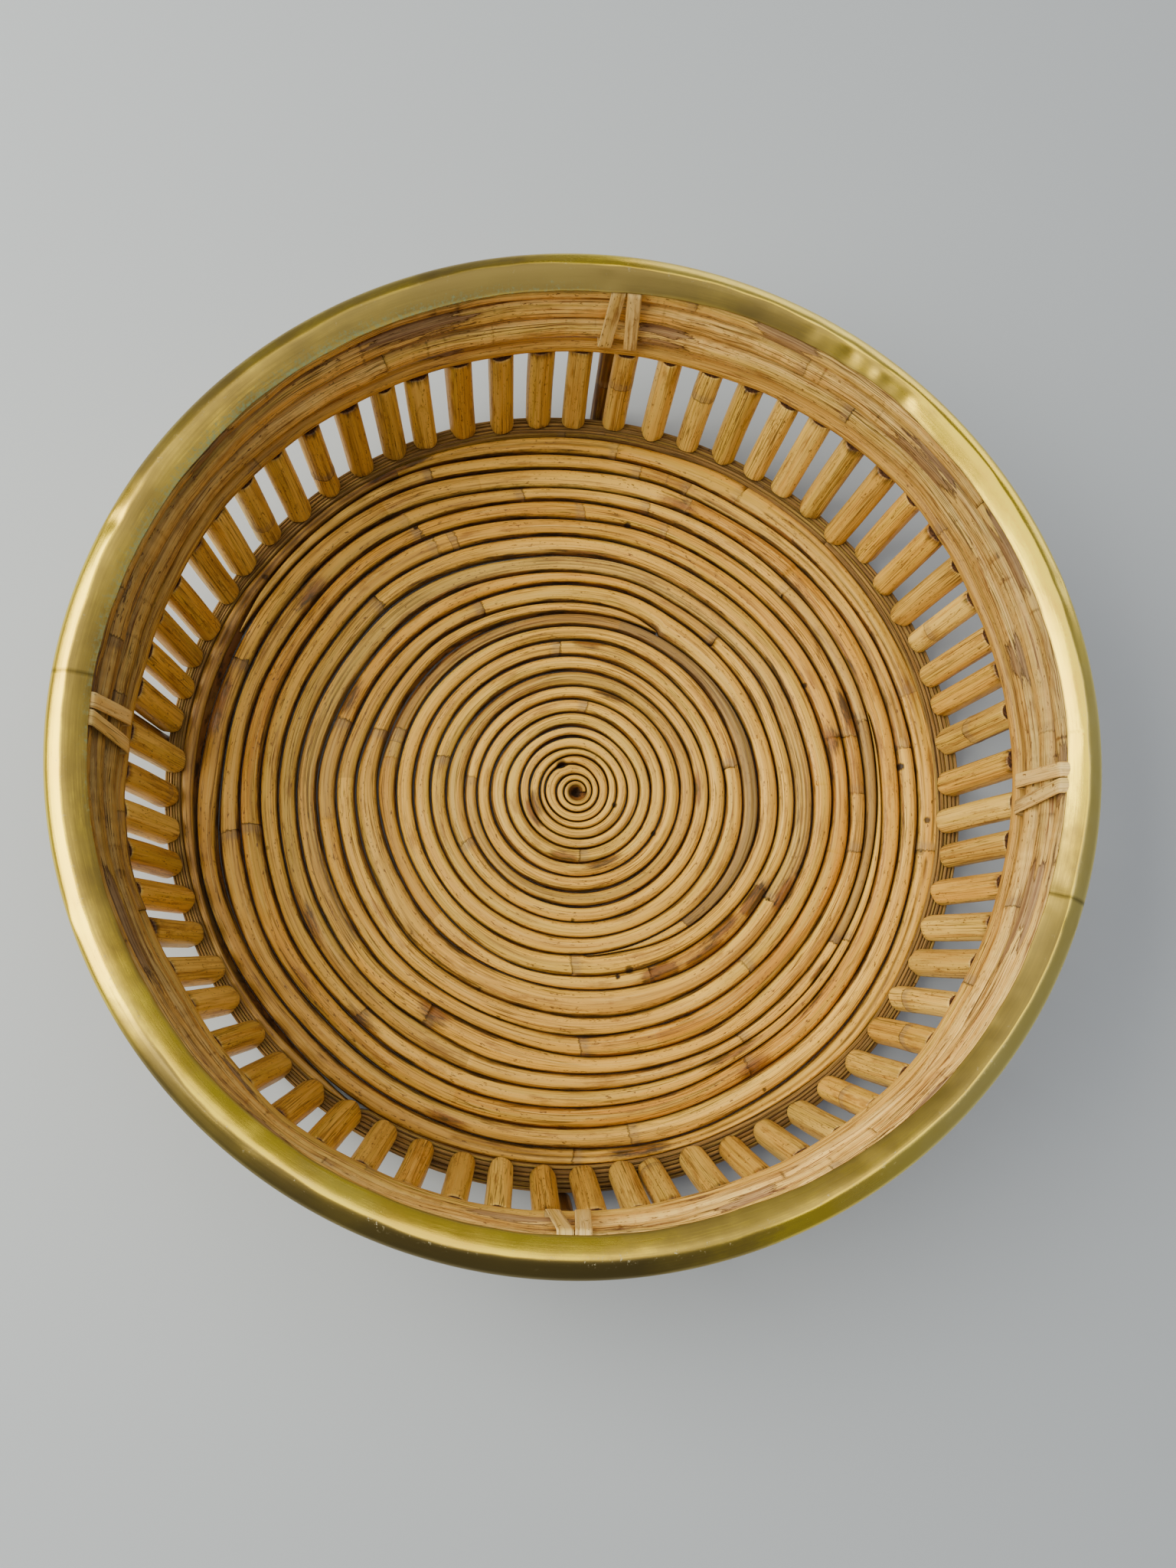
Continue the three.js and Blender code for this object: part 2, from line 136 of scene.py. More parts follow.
# Lengths of cane: the angle wound where each starts, how strong its joint shows, then its
# lightness, warmth, greyness and stain; the last two are left out where they are 0
MAIN_LENGTHS = (
    (0, 0, 0.1, 0.35), (1500, 0.4, 0.15, 0.3), (2432.5, 0.9, 0.15, 0.25),
    (2962.5, 0.9, 0.25, 0.3), (3415, 0.5, 0, 0.45, 0.25), (3807.5, 0.9, 0.1, 0.3),
    (4128, 0.9, 0.05, 0.3), (4416.2, 0.9, 0.1, 0.35), (4687.5, 0.9, 0.2, 0.3),
    (4948.8, 0.8, 0.2, 0.35), (5055, 0, 0, 0.5), (5157.5, 0.9, -0.1, 0.4, 0.15),
    (5220, 0, 0.2, 0.25), (5352.5, 0.8, 0.1, 0.35), (5400, 0, 0.15, 0.3),
    (5537.5, 0.9, -0.15, 0.35, 0.2), (5650, 0, 0.05, 0.45), (5702.5, 0.8, 0.3, 0.2),
    (5728, 0.9, -0.5, 0.3, 0.7), (5772.5, 0.7, 0.1, 0.1, 0.45), (5802.5, 0.6, 0.25, 0.15),
    (5835, 0.7, 0.25, 0.2), (5860, 0.9, 0, 0.35), (5882.5, 0.3, -0.1, 0.35, 0.15),
    (5950, 1, 0, 0.2, 0.15), (6038.8, 0.8, 0.3, 0.1), (6126.2, 0.8, 0.35, 0.05, 0.2),
    (6188.8, 0.6, -0.25, 0.6), (6198, 0.7, 0.15, 0.3), (6235, 0.9, 0.2, 0.05, 0.3),
)
SECOND_LENGTHS = (
    (4953, 0, -0.1, 0.3), (4988, 0.8, -0.45, 0.3, 0.9), (5115, 0, -0.35, 0.65, 0.55),
    (5203, 0.9, 0, 0.1, 0.5), (5212.5, 0.4, -0.2, 0.75, 0.1), (5265, 0, 0.05, 0.3),
    (5331.2, 1, -0.1, 0.75, 0, 0.3), (5370.5, 0.8, 0.25, 0.25), (5446.5, 1, -0.1, 0.5, 0.15),
    (5475, 0, 0.05, 0.8), (5565.5, 0.9, 0.05, 0.3, 0.4), (5590, 0, 0, 0.4), (5671.2, 0.9, 0, 0.6),
    (5687.5, 0, -0.05, 0.95), (5745, 0, -0.05, 0.9), (5770.5, 0.8, 0.05, 0.65),
    (5875.8, 0.8, 0, 0.5), (5880.2, 0.6, -0.05, 0.4), (5955, 0, -0.2, 0.45),
    (5988.8, 0.9, 0.15, 0.35), (6089.5, 0.9, 0.1, 0.3),
)
THIRD_LENGTHS = (
    (5102, 0, 0.25, 0.15), (5205.2, 0.8, 0, 0.2, 0.1), (5265, 0, 0.15, 0.35),
    (5368.8, 0.9, 0.25, 0.1, 0.35), (5617.5, 0, 0.2, 0.35), (5638.8, 0.8, 0.25, 0.5),
    (5746.2, 0.7, 0.1, 0.35), (5758, 0.5, -0.3, 0.9), (5770, 0.7, 0, 0.45),
    (5830, 0.6, 0.15, 0.5), (5848, 0.6, 0.1, 0.75), (5881.8, 0.9, 0.05, 0.75),
    (5949.2, 1, -0.05, 0.6), (6010, 0, 0, 0.85), (6060.8, 0.9, 0.05, 0.75), (6120, 0, 0, 0.65),
    (6165, 0, -0.1, 0.75), (6187.5, 0.7, 0.35, 0.15), (6227.5, 0, 0.2, 0.15, 0.1),
    (6245, 0, -0.1, 0.3), (6281.2, 0.9, -0.3, 0.45, 0.2), (6390, 0.8, 0.1, 0.4),
    (6402.5, 0, 0.15, 0.35), (6468.8, 0.9, 0.3, 0.2), (6495, 0.5, 0.15, 0.3, 0.2),
    (6540, 0.5, 0.1, 0.7), (6562.5, 0.6, 0.2, 0.3), (6600, 0.4, -0.5, 0.6, 0.4),
)

# Split into slivers: the angle wound at each end, and how many slivers
MAIN_SLIVERS = ((6128, 6186, 4),)
SECOND_SLIVERS = ((4990, 5203, 3),)
THIRD_SLIVERS = ((5369, 5618, 5), (6372, 6468, 2), (6470, 6535, 3), (6562, 6640, 2))

# The floor's canes: name, first and last angle wound, lengths, slivers, sides and seed; then
# the angles wound where the second and third are let in, where the second ends, and where the
# third's last turn drops to its seat beside the hoop; then half a joint's width in mm
COIL_CANES = (
    ("main", 0.0, 6277.0, MAIN_LENGTHS, MAIN_SLIVERS, 20, 1.0),
    ("second", 4953.9, 6134.0, SECOND_LENGTHS, SECOND_SLIVERS, 28, 2.0),
    ("third", 5102.6, 6717.0, THIRD_LENGTHS, THIRD_SLIVERS, 32, 3.0),
)
SECOND_LET_IN, THIRD_LET_IN, SECOND_END, THIRD_SEAT = 4953.8, 5102.5, 6134.0, 6632.0
JOINT_HALF = 0.12

# Dark knots, and holes painted dark as painted shade: angle in degrees, radius, size and strength
COIL_SPOTS = (
    (0, 0, 2.1, 1), (338.8, 17, 1.2, 0.9), (330, 37.2, 1.3, 0.9), (23.8, 108.3, 1.3, 0.9),
    (3, 140, 1.7, 1), (122.2, 128.5, 1, 0.9), (78.5, 116.5, 1.7, 0.9), (282.5, 81, 1.2, 1),
    (286.3, 79.5, 1.9, 0.8), (353.8, 151, 1.6, 0.9), (348.5, 149.5, 1.7, 0.55),
    (147.5, 154.3, 1.4, 0.8), (301.3, 147.8, 0.9, 0.8), (246, 92.8, 0.9, 0.6),
    (120, 13, 2.2, 0.7), (269, 55.5, 0.8, 0.8), (194, 127, 1, 0.5),
)

# Stains on the coil's canes: the angle wound at the middle, half length, side and strength
COIL_STAINS = {
    "main": (
        (5722, 4, 0.6, 0.8), (5905, 6, -0.5, 0.7), (4405, 9, 0.7, 0.8), (3960, 14, -0.7, 0.8),
        (3310, 16, 0.7, 0.8), (2810, 20, -0.6, 0.8), (2420, 18, 0.6, 0.9), (2010, 24, -0.5, 0.9),
        (1640, 26, 0.5, 0.8), (6010, 6, 0.6, 0.7), (5610, 7, 0.4, 0.6),
    ),
    "second": (
        (5334, 7, 0.2, 1.2), (5347, 9, 0.7, 0.9), (5356, 8, -0.6, 0.8), (5367, 6, 0.1, 1.5),
        (5560, 8, 0.5, 0.7), (5770, 5, -0.3, 0.7), (5990, 6, 0.4, 0.6), (6060, 9, -0.6, 0.7),
    ),
    "third": (
        (5372, 6, 0.6, 0.8), (5640, 6, -0.4, 0.7), (5775, 7, 0.4, 0.8), (6062, 5, 0.5, 0.8),
        (6190, 6, -0.5, 0.7), (6290, 8, 0.5, 0.8), (6400, 7, -0.4, 0.8), (6600, 9, 0.4, 0.8),
    ),
}

# How far in each spindle's foot stands, in mm from the basket's middle to its inner side
SPINDLE_FEET = (
    156.7, 158, 157.6, 158.4, 157.1, 158.3, 160.3, 155.4, 157.1, 156.9, 156.9, 156.7, 155.9,
    156.1, 157.1, 156.4, 156.7, 156.2, 157.1, 157.8, 158.1, 158.4, 158.3, 157.8, 160, 160, 159,
    158.5, 160, 159, 160.5, 157.1, 159.4, 159.5, 160.4, 158.8, 159.5, 157.8, 158.5, 158.3, 158.5,
    157.3, 155.4, 155.1, 155.3, 155.1, 153.9, 154.7, 154.9, 153.9, 155.3, 154.8, 156.6, 157.1,
    158.1, 158.1, 158.6, 157.1, 156.9, 157.4, 156.4, 156.6, 157.4, 154.6, 155.3,
)

# Round the basket, in degrees and mm: the pole's bends, the hoop's two walls and the cap's lip
POLE_BENDS = (
    (0, -1.7), (20, -1.3), (30, -0.2), (40, 1), (50, 0.2), (60, -1), (75, -2.5), (90, -2.7),
    (105, -3.2), (120, -3), (135, -2.3), (147, -1.9), (160, -3), (170, -3.4), (180, -2.8),
    (190, -1), (197, -0.5), (205, -1.6), (213, -2.3), (222, -1.4), (232, 0.2), (245, -0.7),
    (255, -1), (270, -1.8), (285, -2.1), (300, -0.9), (315, -0.4), (330, -1.6), (345, -2),
)
HOOP_INNER = (
    (0, 155.2), (20, 155.6), (40, 155.3), (55, 154.6), (66, 154.8), (78, 154.3), (90, 154.7),
    (105, 155.6), (120, 156.9), (133, 157.6), (144, 158.2), (152, 159.3), (160, 159.7),
    (190, 159.5), (210, 159.3), (232, 159), (237, 158.4), (240, 155.8), (255, 155.5),
    (285, 155.4), (294, 155.4), (300, 155.9), (306, 156.6), (312, 157.5), (318, 158.1),
    (330, 157.1), (345, 156.5),
)
HOOP_OUTER = (
    (0, 164.8), (25, 164.6), (45, 162.6), (65, 161.9), (90, 162.2), (110, 163.8), (135, 164.8),
)
CAP_LIP = (
    (0, 1.1), (25, 0.7), (40, 0.4), (50, 1.5), (65, 0.2), (95, -2), (130, -1.3), (180, -0.5),
    (225, 0.4), (285, -0.1), (310, 1.3), (345, 0.5),
)

# How pale each stretch of the rim's canes is (their own tone, with painted light and shade by
# side), and how far each side of the cap is tarnished (with painted reflections); below 0 is a
# painted gleam
RIM_PALENESS_AND_LIGHT = (
    (0, -0.5), (30, -0.4), (65, 0.4), (95, 0.8), (120, 0.6), (150, -0.6), (190, -1.1),
    (235, -0.1), (288, 1.1), (325, 0.6),
)
TARNISH_AND_REFLECTION_INSIDE = (
    (0, 0.1), (15, 0), (38, 0.1), (52, 0.9), (72, 1.6), (90, 2.3), (108, 2), (120, 1.8),
    (138, 1.1), (165, 1.3), (195, 1.2), (212, 0.7), (226, 0.35), (240, -0.2), (255, 0),
    (268, 0.5), (285, 1.2), (300, 1), (318, 1.5), (333, 1.7), (347, 0.8),
)
TARNISH_AND_REFLECTION_OUTSIDE = (
    (0, -0.9), (15, -0.3), (35, 0), (62, -0.5), (80, -0.4), (92, 0.4), (105, 1), (135, 1),
    (148, 1.2), (160, 0.4), (172, 0.1), (208, 0.2), (222, 1.6), (245, 1.7), (270, 1.9), (285, 1),
    (298, -0.2), (315, -0.9), (340, -0.9),
)

# Bark left on the rim's canes, and dents in the cap: degrees, then half length or radius in mm,
# then the cane's number or the size, then the force or the depth
BARK = (
    (24, 11, 2, 1.2), (64, 9, 2, 1.3), (145, 9, 2, 1.1), (338, 12, 1, 1.2), (355, 8, 2, 1),
    (112, 14, 1, 1), (205, 14, 1, 1.1), (262, 12, 0, 1.1), (312, 9, 2, 0.8), (80, 8, 0, 0.9),
    (40, 12, 1, 1), (178, 9, 2, 1), (232, 8, 2, 1), (288, 8, 1, 0.9), (12, 7, 0, 0.8),
)
DENTS = (
    (47, 169, 3.4, 0.5), (51.5, 170.5, 3, -0.55), (56, 170, 3.6, 0.7), (61.5, 171, 3.2, 0.4),
    (341, 170, 3.5, 0.4), (337, 176, 3, 0.4), (18, 176, 4.5, 0.3), (203, 175.5, 5, 0.4),
    (301, 169.5, 5, 0.35), (128, 170, 5, 0.35), (158, 176, 4, 0.4), (232, 171, 4, 0.3),
    (276, 176, 5, 0.35), (88, 169.5, 4, 0.35),
)

# Where the ties, the posts and the cap's butt seams are, in degrees
TIES = (("right", -5.7), ("back", 85.5), ("left", 179.8), ("front", 268.0))
POSTS = (("back", 86.1), ("left", 176.0), ("front", 268.6))
SEAMS = (-20.0, 176.0)

# The rim's canes from the lowest up, and the angle in degrees where each one's ends meet
RIM_CANES = (("rim_cane_lower", 118.0), ("rim_cane_middle", 305.0), ("rim_cane_top", 31.0))

# Sizes in mm. The floor coil's middle lies off the basket's, and from COIL_EDGE out it doesn't
COIL_MIDDLE = Vector((1.5, -6.6, 0.0))
COIL_EDGE = 150.0
SPINDLE_FOOT_Z, SPINDLE_HEAD_Z = 8.1, 55.25
SPINDLE_FOOT_INSET = 4.7
SPINDLE_HEAD_RADIUS = 170.9
RING_RADIUS = 170.0
RING_GAP = 0.12
RIM_CANE_HALF_WIDTH = 5.55
RIDGE_RADIUS, RIDGE_Z = 173.2, 97.6
TIE_INNER, TIE_OUTER, TIE_FOOT = 165.45, 178.85, 62.35
TIE_RADIUS = 166.6
POST_RADIUS, POST_OFFSET, POST_HEAD = 3.9, 4.0, 175.9
CREST_RADIUS, LIP_RADIUS = 173.6, 166.7
CAP_WIDTH = 7.1
CAP_TOP = 99.84
# How dark the cap's inner lip is painted: a painted shade line
LIP_PAINTED_SHADE = 1.2


def box_mm(node):
    """A node's lowest and highest corners in millimetres."""
    low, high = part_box(node)
    return Vector(low) / MM, Vector(high) / MM


# Shader maths


class Wire:
    """A socket of a node tree. Arithmetic on it adds Math nodes."""

    def __init__(self, paint, socket):
        self.paint = paint
        self.socket = socket

    def maths(self, operation, first, second=0.0, clamp=False):
        settings = {"operation": operation, "use_clamp": clamp}
        return self.paint.node("Math", settings, {0: first, 1: second})

    def __add__(self, other):
        return self.maths("ADD", self, other)

    def __sub__(self, other):
        return self.maths("SUBTRACT", self, other)

    def __mul__(self, other):
        return self.maths("MULTIPLY", self, other)

    def __radd__(self, other):
        return self.maths("ADD", other, self)

    def __rsub__(self, other):
        return self.maths("SUBTRACT", other, self)

    def __rmul__(self, other):
        return self.maths("MULTIPLY", other, self)

    def __abs__(self):
        return self.maths("ABSOLUTE", self)

    def clamped(self):
        return self.maths("ADD", self, 0.0, clamp=True)

    def rise(self, low, high):
        """Smooth step from 0 at low to 1 at high."""
        settings = {"interpolation_type": "SMOOTHSTEP"}
        sockets = {"Value": self, "From Min": low, "From Max": high}
        return self.paint.node("MapRange", settings, sockets)

    def fall(self, low, high):
        """Smooth step from 1 at low to 0 at high."""
        return 1.0 - self.rise(low, high)


class Paint:
    """One material and its nodes."""

    def __init__(self, name):
        self.material = bpy.data.materials.new(name)
        self.material.use_nodes = True
        self.tree = self.material.node_tree
        self.surface = self.tree.nodes["Principled BSDF"]

    def node(self, kind, settings=None, sockets=None, output=0):
        """Add a node of a kind, set it up, then feed its sockets with values or wires."""
        made = self.tree.nodes.new("ShaderNode" + kind)
        for key, value in (settings or {}).items():
            setattr(made, key, value)
        for key, value in (sockets or {}).items():
            self.feed(made.inputs[key], value)
        return Wire(self, made.outputs[output])

    def feed(self, socket, value):
        if isinstance(value, Wire):
            self.tree.links.new(value.socket, socket)
        elif isinstance(value, tuple) and len(value) == 3 and socket.type == "RGBA":
            socket.default_value = (*value, 1.0)
        else:
            socket.default_value = value

    def attribute(self, name):
        """One of the piece's own vertex attributes."""
        return self.node("Attribute", {"attribute_name": name}, output=1)

    def parts(self, name):
        """The x, y and z of one of the piece's own vertex attributes."""
        made = self.node("SeparateXYZ", sockets={0: self.attribute(name)})
        outputs = made.socket.node.outputs
        return [Wire(self, outputs[index]) for index in range(3)]

    def scaled(self, vector, scale, shift=(0.0, 0.0, 0.0)):
        sockets = {0: vector, 1: scale, 2: shift}
        return self.node("VectorMath", {"operation": "MULTIPLY_ADD"}, sockets)

    def noise(self, vector, scale, detail=2.0, roughness=0.5, shift=0.0):
        """Soft noise from 0 to 1 over a vector in millimetres."""
        moved = self.scaled(vector, scale, (shift, shift * 1.7, shift * 0.6))
        sockets = {"Vector": moved, "Scale": 1.0, "Detail": detail, "Roughness": roughness}
        return self.node("TexNoise", sockets=sockets)

    def blend(self, first, second, amount):
        """Mix two colours; an amount outside 0 to 1 is held to it."""
        settings = {"data_type": "RGBA", "clamp_factor": True}
        made = self.node("Mix", settings, {0: amount}, output=2)
        inputs = made.socket.node.inputs
        self.feed(inputs[6], first)
        self.feed(inputs[7], second)
        return made

    def bump(self, height, distance, strength=1.0):
        """A normal from a height from 0 to 1, with its depth in millimetres."""
        sockets = {"Height": height, "Distance": distance * MM, "Strength": strength}
        return self.node("Bump", sockets=sockets)

    def finish(self, colour, roughness, normal=None, metal=0.0, coat=0.0, coat_roughness=0.2,
               level=0.5):
        """Feed the surface shader and hand back the material."""
        sockets = {"Base Color": colour, "Roughness": roughness, "Metallic": metal,
                   "Coat Weight": coat, "Coat Roughness": coat_roughness,
                   "Specular IOR Level": level}
        if normal is not None:
            sockets["Normal"] = normal
        for name, value in sockets.items():
            self.feed(self.surface.inputs[name], value)
        return self.material


# Materials

PALE = (0.84, 0.55, 0.14)
TAN = (0.68, 0.35, 0.06)
KHAKI = (0.62, 0.41, 0.055)
BEIGE = (0.34, 0.24, 0.13)
GREYED = (0.23, 0.14, 0.065)
BROWN = (0.13, 0.048, 0.012)
STAINED = (0.25, 0.088, 0.016)
DARK = (0.028, 0.011, 0.0035)
BARK_PALE, BARK_DARK, RIND = (0.42, 0.27, 0.13), (0.24, 0.13, 0.065), (0.07, 0.025, 0.01)
# Cut end grain, deepened as painted shade for the spindles' heads under the pole
SHADED_SAWN_DARK, SHADED_SAWN_PALE = (0.045, 0.014, 0.005), (0.17, 0.07, 0.022)

# Dulled and olive brass lie partly as real tarnishing, partly as painted dark reflection; the pale
# gleam is a painted highlight
BRASS, WARM_BRASS, DULL_BRASS = (0.95, 0.71, 0.06), (0.87, 0.59, 0.06), (0.36, 0.25, 0.07)
OLIVE, PAINTED_GLEAM, VERDIGRIS = (0.12, 0.095, 0.045), (0.92, 0.78, 0.30), (0.16, 0.27, 0.16)
CHALK, SEAM = (0.62, 0.60, 0.45), (0.03, 0.022, 0.007)


def cane_finish(name, straw, honey, shade, fibre=0.35, peeled=0.0, gloss=0.5, coat=0.08,
                flakes=0.0, spots=()):
    """Rattan: long grain, tone from cane to cane, knots, cracks, flecks, stains and cut ends."""
    paint = Paint(name)
    grain = paint.attribute("grain")
    knot_reach, knot_here, knot_force = paint.parts("knot")
    lightness, warmth, stain = paint.parts("tint")
    cut, split, grey = paint.parts("wear")

    def grained(along, across, shift, detail=3.0, roughness=0.5):
        return paint.noise(grain, (along, across, across), detail, roughness, shift)

    broad = grained(0.008, 0.08, 0.0, 2.0)
    patch = grained(0.03, 0.3, 11.0)
    streak = grained(0.012, 0.5, 3.0, roughness=0.6)
    thread = grained(0.03, 1.5, 29.0, roughness=0.62)
    fleck = grained(0.35, 1.3, 41.0, 2.0, 0.7)
    scuff = grained(0.12, 0.9, 57.0, 5.0, 0.7)
    tone = grained(0.01, 0.26, 127.0, 2.0)
    line = grained(0.014, 1.1, 73.0, 1.5)
    smudge = grained(0.045, 0.28, 91.0, 5.0, 0.68)
    pith = grained(1.1, 1.1, 5.0, roughness=0.6)

    # Long thin cracks, and round a knot a crisp ring, a scuffed band past it and a trail
    depth = 0.42 + 0.4 * peeled
    crack = abs(line - 0.5).fall(0.0, 0.02 + 0.012 * peeled) * broad.rise(0.42 - 0.1 * peeled, 0.6)
    # The split channel: real splits, plus painted shade in the coil's crevices and at its middle
    crack = crack * (0.7 + 0.25 * peeled) + (split + (scuff - 0.5) * 0.7 * split.rise(0.0, 0.2))
    crack = crack.clamped()
    ragged = knot_reach + (scuff - 0.5) * 3.4
    ring = abs(ragged).fall(0.08, 0.5) * knot_here * knot_force
    band = ragged.rise(-0.1, 0.2) * ragged.fall(2.5, 5.0) * knot_here * knot_force
    trail = ragged.rise(0.0, 0.5) * ragged.fall(3.0, 11.0) * thread.rise(0.45, 0.6) * knot_here
    # The stain mask: real stains, plus painted shade along the coil's creases and darkening
    # towards the spindles' ends
    stain_and_shade = (stain * 1.9 + (scuff - 0.5) * 1.3 + (streak - 0.5) * 0.8).rise(0.35, 1.05)
    stain_and_shade = stain_and_shade * stain.rise(0.02, 0.15)

    # The ground colour wanders between straw and honey; the rest lies over it, one by one
    warm = (warmth + (broad - 0.5) * 0.9 + (patch - 0.5) * 0.5 + (streak - 0.5) * 0.5).clamped()
    layers = [
        (TAN, tone.rise(0.5, 0.66) * 0.55),
        (KHAKI, tone.fall(0.34, 0.48) * 0.55),
        (shade, streak.rise(0.5, 0.72) * depth),
        (shade, thread.rise(0.52, 0.7) * (depth + fibre * 0.4)),
        (PALE, thread.fall(0.34, 0.47) * fibre),
        (DARK, crack * 0.92),
        (BROWN, fleck.rise(0.59, 0.68) * patch.rise(0.4, 0.55) * 0.85),
        (STAINED, smudge.rise(0.54, 0.68) * 0.55),
        (BEIGE, band * (0.25 + scuff.rise(0.35, 0.6) * 0.5)),
        (BROWN, trail * knot_force * 0.45),
        (DARK, ring * 0.7),
        (GREYED, grey * (0.4 + streak * 0.7) * (1.0 - flakes)),
        (paint.blend(STAINED, DARK, (scuff * 0.5 + smudge * 0.5).rise(0.46, 0.56)), stain_and_shade * 0.85),
    ]
    if flakes:
        torn = patch * 0.55 + streak * 0.7 + scuff * 0.45 + grey * 0.28 - 0.85
        bark = torn.rise(0.2, 0.23) * grey.rise(0.05, 0.2)
        rind = torn.rise(0.15, 0.19) * (1.0 - bark)
        layers.append((paint.blend(BARK_PALE, BARK_DARK, thread.rise(0.35, 0.6)), bark * flakes))
        layers.append((RIND, rind * grey.rise(0.05, 0.2) * 0.9))
    # Cut ends: end grain with painted shade
    layers.append((paint.blend(SHADED_SAWN_DARK, SHADED_SAWN_PALE, pith.rise(0.4, 0.7)), cut.rise(0.2, 0.6)))
    colour = paint.blend(straw, honey, warm)
    for layer, amount in layers:
        colour = paint.blend(colour, layer, amount)
    # The lightness channel sets brightness; on the rim's canes and pole it carries painted light
    # and shade by side
    sockets = {"Color": colour, "Value": 1.0 + lightness * 0.42}
    bright = paint.node("HueSaturation", sockets=sockets)

    # Dark spots: knots, and holes whose darkness is painted shade
    hole = 0.0
    if spots:
        place = paint.scaled(paint.node("TexCoord", output=3), (1000.0, 1000.0, 0.0))
        for centre, size, force in spots:
            sockets = {0: place, 1: centre}
            away = paint.node("VectorMath", {"operation": "DISTANCE"}, sockets, output=1)
            hole = hole + (away + (fleck - 0.5) * 1.6).fall(size * 0.55, size * 1.15) * force
        hole = hole.clamped()
        bright = paint.blend(bright, DARK, hole)

    rough = gloss + (streak - 0.5) * 0.3 + cut * 0.3 + band * 0.2 - stain_and_shade * 0.1 + crack * 0.2
    height = streak * (0.9 + 1.2 * peeled) + thread * (0.4 + 0.6 * peeled) - crack * 0.9
    height = height + smudge * 0.6 + ring * 0.5 + band * scuff * 0.5 + cut * pith * 0.7 - hole
    shine = (coat * (1.0 - cut) * (1.0 - stain_and_shade * 0.3)).clamped()
    return paint.finish(bright, rough.clamped(), paint.bump(height, 0.4, 0.85), coat=shine,
                        coat_roughness=0.3, level=0.38)


def brass_finish():
    """Worn brass sheet: polish marks round the rim, brown and olive tarnishing, painted
    reflections, two butt seams.
    """
    paint = Paint("worn_brass")
    place = paint.scaled(paint.node("TexCoord", output=3), (1000.0, 1000.0, 1000.0))
    along, across, tarnish_and_reflection = paint.parts("sheet")
    seam, white, green = paint.parts("wear")
    cloud = paint.noise(place, (0.03, 0.03, 0.03), 4.0, 0.6)
    smear = paint.noise(place, (0.11, 0.11, 0.4), 5.0, 0.65, 9.0)
    hand = paint.node("CombineXYZ", sockets={0: along, 1: across, 2: 0.0})
    polish = paint.noise(hand, (0.035, 1.5, 1.0), 4.0, 0.65, 17.0)
    scratch = paint.noise(hand, (0.12, 3.0, 1.0), 2.0, 0.5, 37.0)
    speck = paint.noise(place, (0.7, 0.7, 0.7), 3.0, 0.75, 23.0)

    # Tarnishing with painted reflections; below 0 a painted pale gleam, a painted highlight; 0 is
    # bright brass
    dulling_and_dark_reflection = (tarnish_and_reflection * 0.8 + (smear - 0.5) * 1.3 + (polish - 0.5) * 0.8).rise(0.1, 1.0)
    olive = (tarnish_and_reflection * 0.7 + (cloud - 0.5) * 1.1 + (polish - 0.5) * 0.4).rise(0.35, 1.3)
    painted_gleam_amount = (0.0 - tarnish_and_reflection + (smear - 0.5) * 0.6).clamped() * (0.0 - tarnish_and_reflection).rise(0.0, 0.2)
    verdigris = (green + (speck - 0.55) * 0.9).rise(0.25, 0.6) * green.rise(0.02, 0.2)
    chalk = speck.rise(0.6, 0.68) * smear.rise(0.45, 0.6) * white
    colour = paint.blend(BRASS, WARM_BRASS, cloud.rise(0.35, 0.7))
    for layer, amount in (
        (DULL_BRASS, dulling_and_dark_reflection * 0.75), (OLIVE, olive * 0.75), (PAINTED_GLEAM, painted_gleam_amount * 0.75),
        (VERDIGRIS, verdigris * 0.8), (CHALK, chalk * 0.8), (SEAM, seam * 0.6),
    ):
        colour = paint.blend(colour, layer, amount)

    rough = 0.24 + dulling_and_dark_reflection * 0.12 + painted_gleam_amount * 0.14 + (polish - 0.5) * 0.14 + (verdigris + chalk) * 0.4
    metal = (1.0 - verdigris * 0.85 - chalk * 0.9).clamped()
    height = smear * 0.5 + polish * 0.25 + scratch * 0.1 + chalk * 0.2 - seam * 0.8
    return paint.finish(colour, rough.clamped(), paint.bump(height, 0.1, 0.6), metal=metal)


def floor_finish():
    paint = Paint("pale_floor")
    return paint.finish((0.48, 0.53, 0.64), 0.7)


# Modelling


def unit(value):
    """A value held between 0 and 1."""
    return max(0.0, min(1.0, value))


def eased(share):
    """A share from 0 to 1 with a soft start and a soft end."""
    return share * share * (3.0 - 2.0 * share)


def hump(away, width):
    """1 at a place, falling softly to 0 on both sides of it."""
    return math.exp(-((away / width) ** 2))


def arc_between(first, second, radius):
    """The shorter way in mm between two angles in degrees."""
    return abs((first - second + 180.0) % 360.0 - 180.0) * math.radians(1.0) * radius


def wander(place, scale, seed):
    """Smooth noise along a length, about -1 to 1, the same on every run."""
    return noise.noise(Vector((place / scale, seed * 7.13, 0.37)))


def squircle(turn, half_width, half_height, squareness):
    """A point on a rounded-rectangle outline; squareness 2 is an ellipse."""
    power = 2.0 / squareness
    across = math.copysign(abs(math.cos(turn)) ** power, math.cos(turn))
    up = math.copysign(abs(math.sin(turn)) ** power, math.sin(turn))
    return half_width * across, half_height * up


def even_steps(length, step):
    count = max(2, math.ceil(length / step))
    return [length * index / count for index in range(count + 1)]


def knot_reading(along, knots):
    """How far past the nearest knot a place lies, whether one is near, and how strong it is."""
    if not knots:
        return 0.0, 0.0, 0.0
    place, force = min(knots, key=lambda knot: abs(along - knot[0]))
    past = along - place
    return max(-12.0, min(12.0, past)), 1.0 if abs(past) < 11.0 else 0.0, force


def knot_swell(along, knots, width):
    """How far the nearest knot swells a cane there, from 0 to its strength."""
    past, here, force = knot_reading(along, knots)
    return force * here * hump(past, width)


def vector_layers(mesh, *names):
    """Add vertex attributes, then fetch them all, as adding one moves those before it."""
    layers = mesh.verts.layers.float_vector
    for name in names:
        layers.new(name)
    return [layers[name] for name in names]


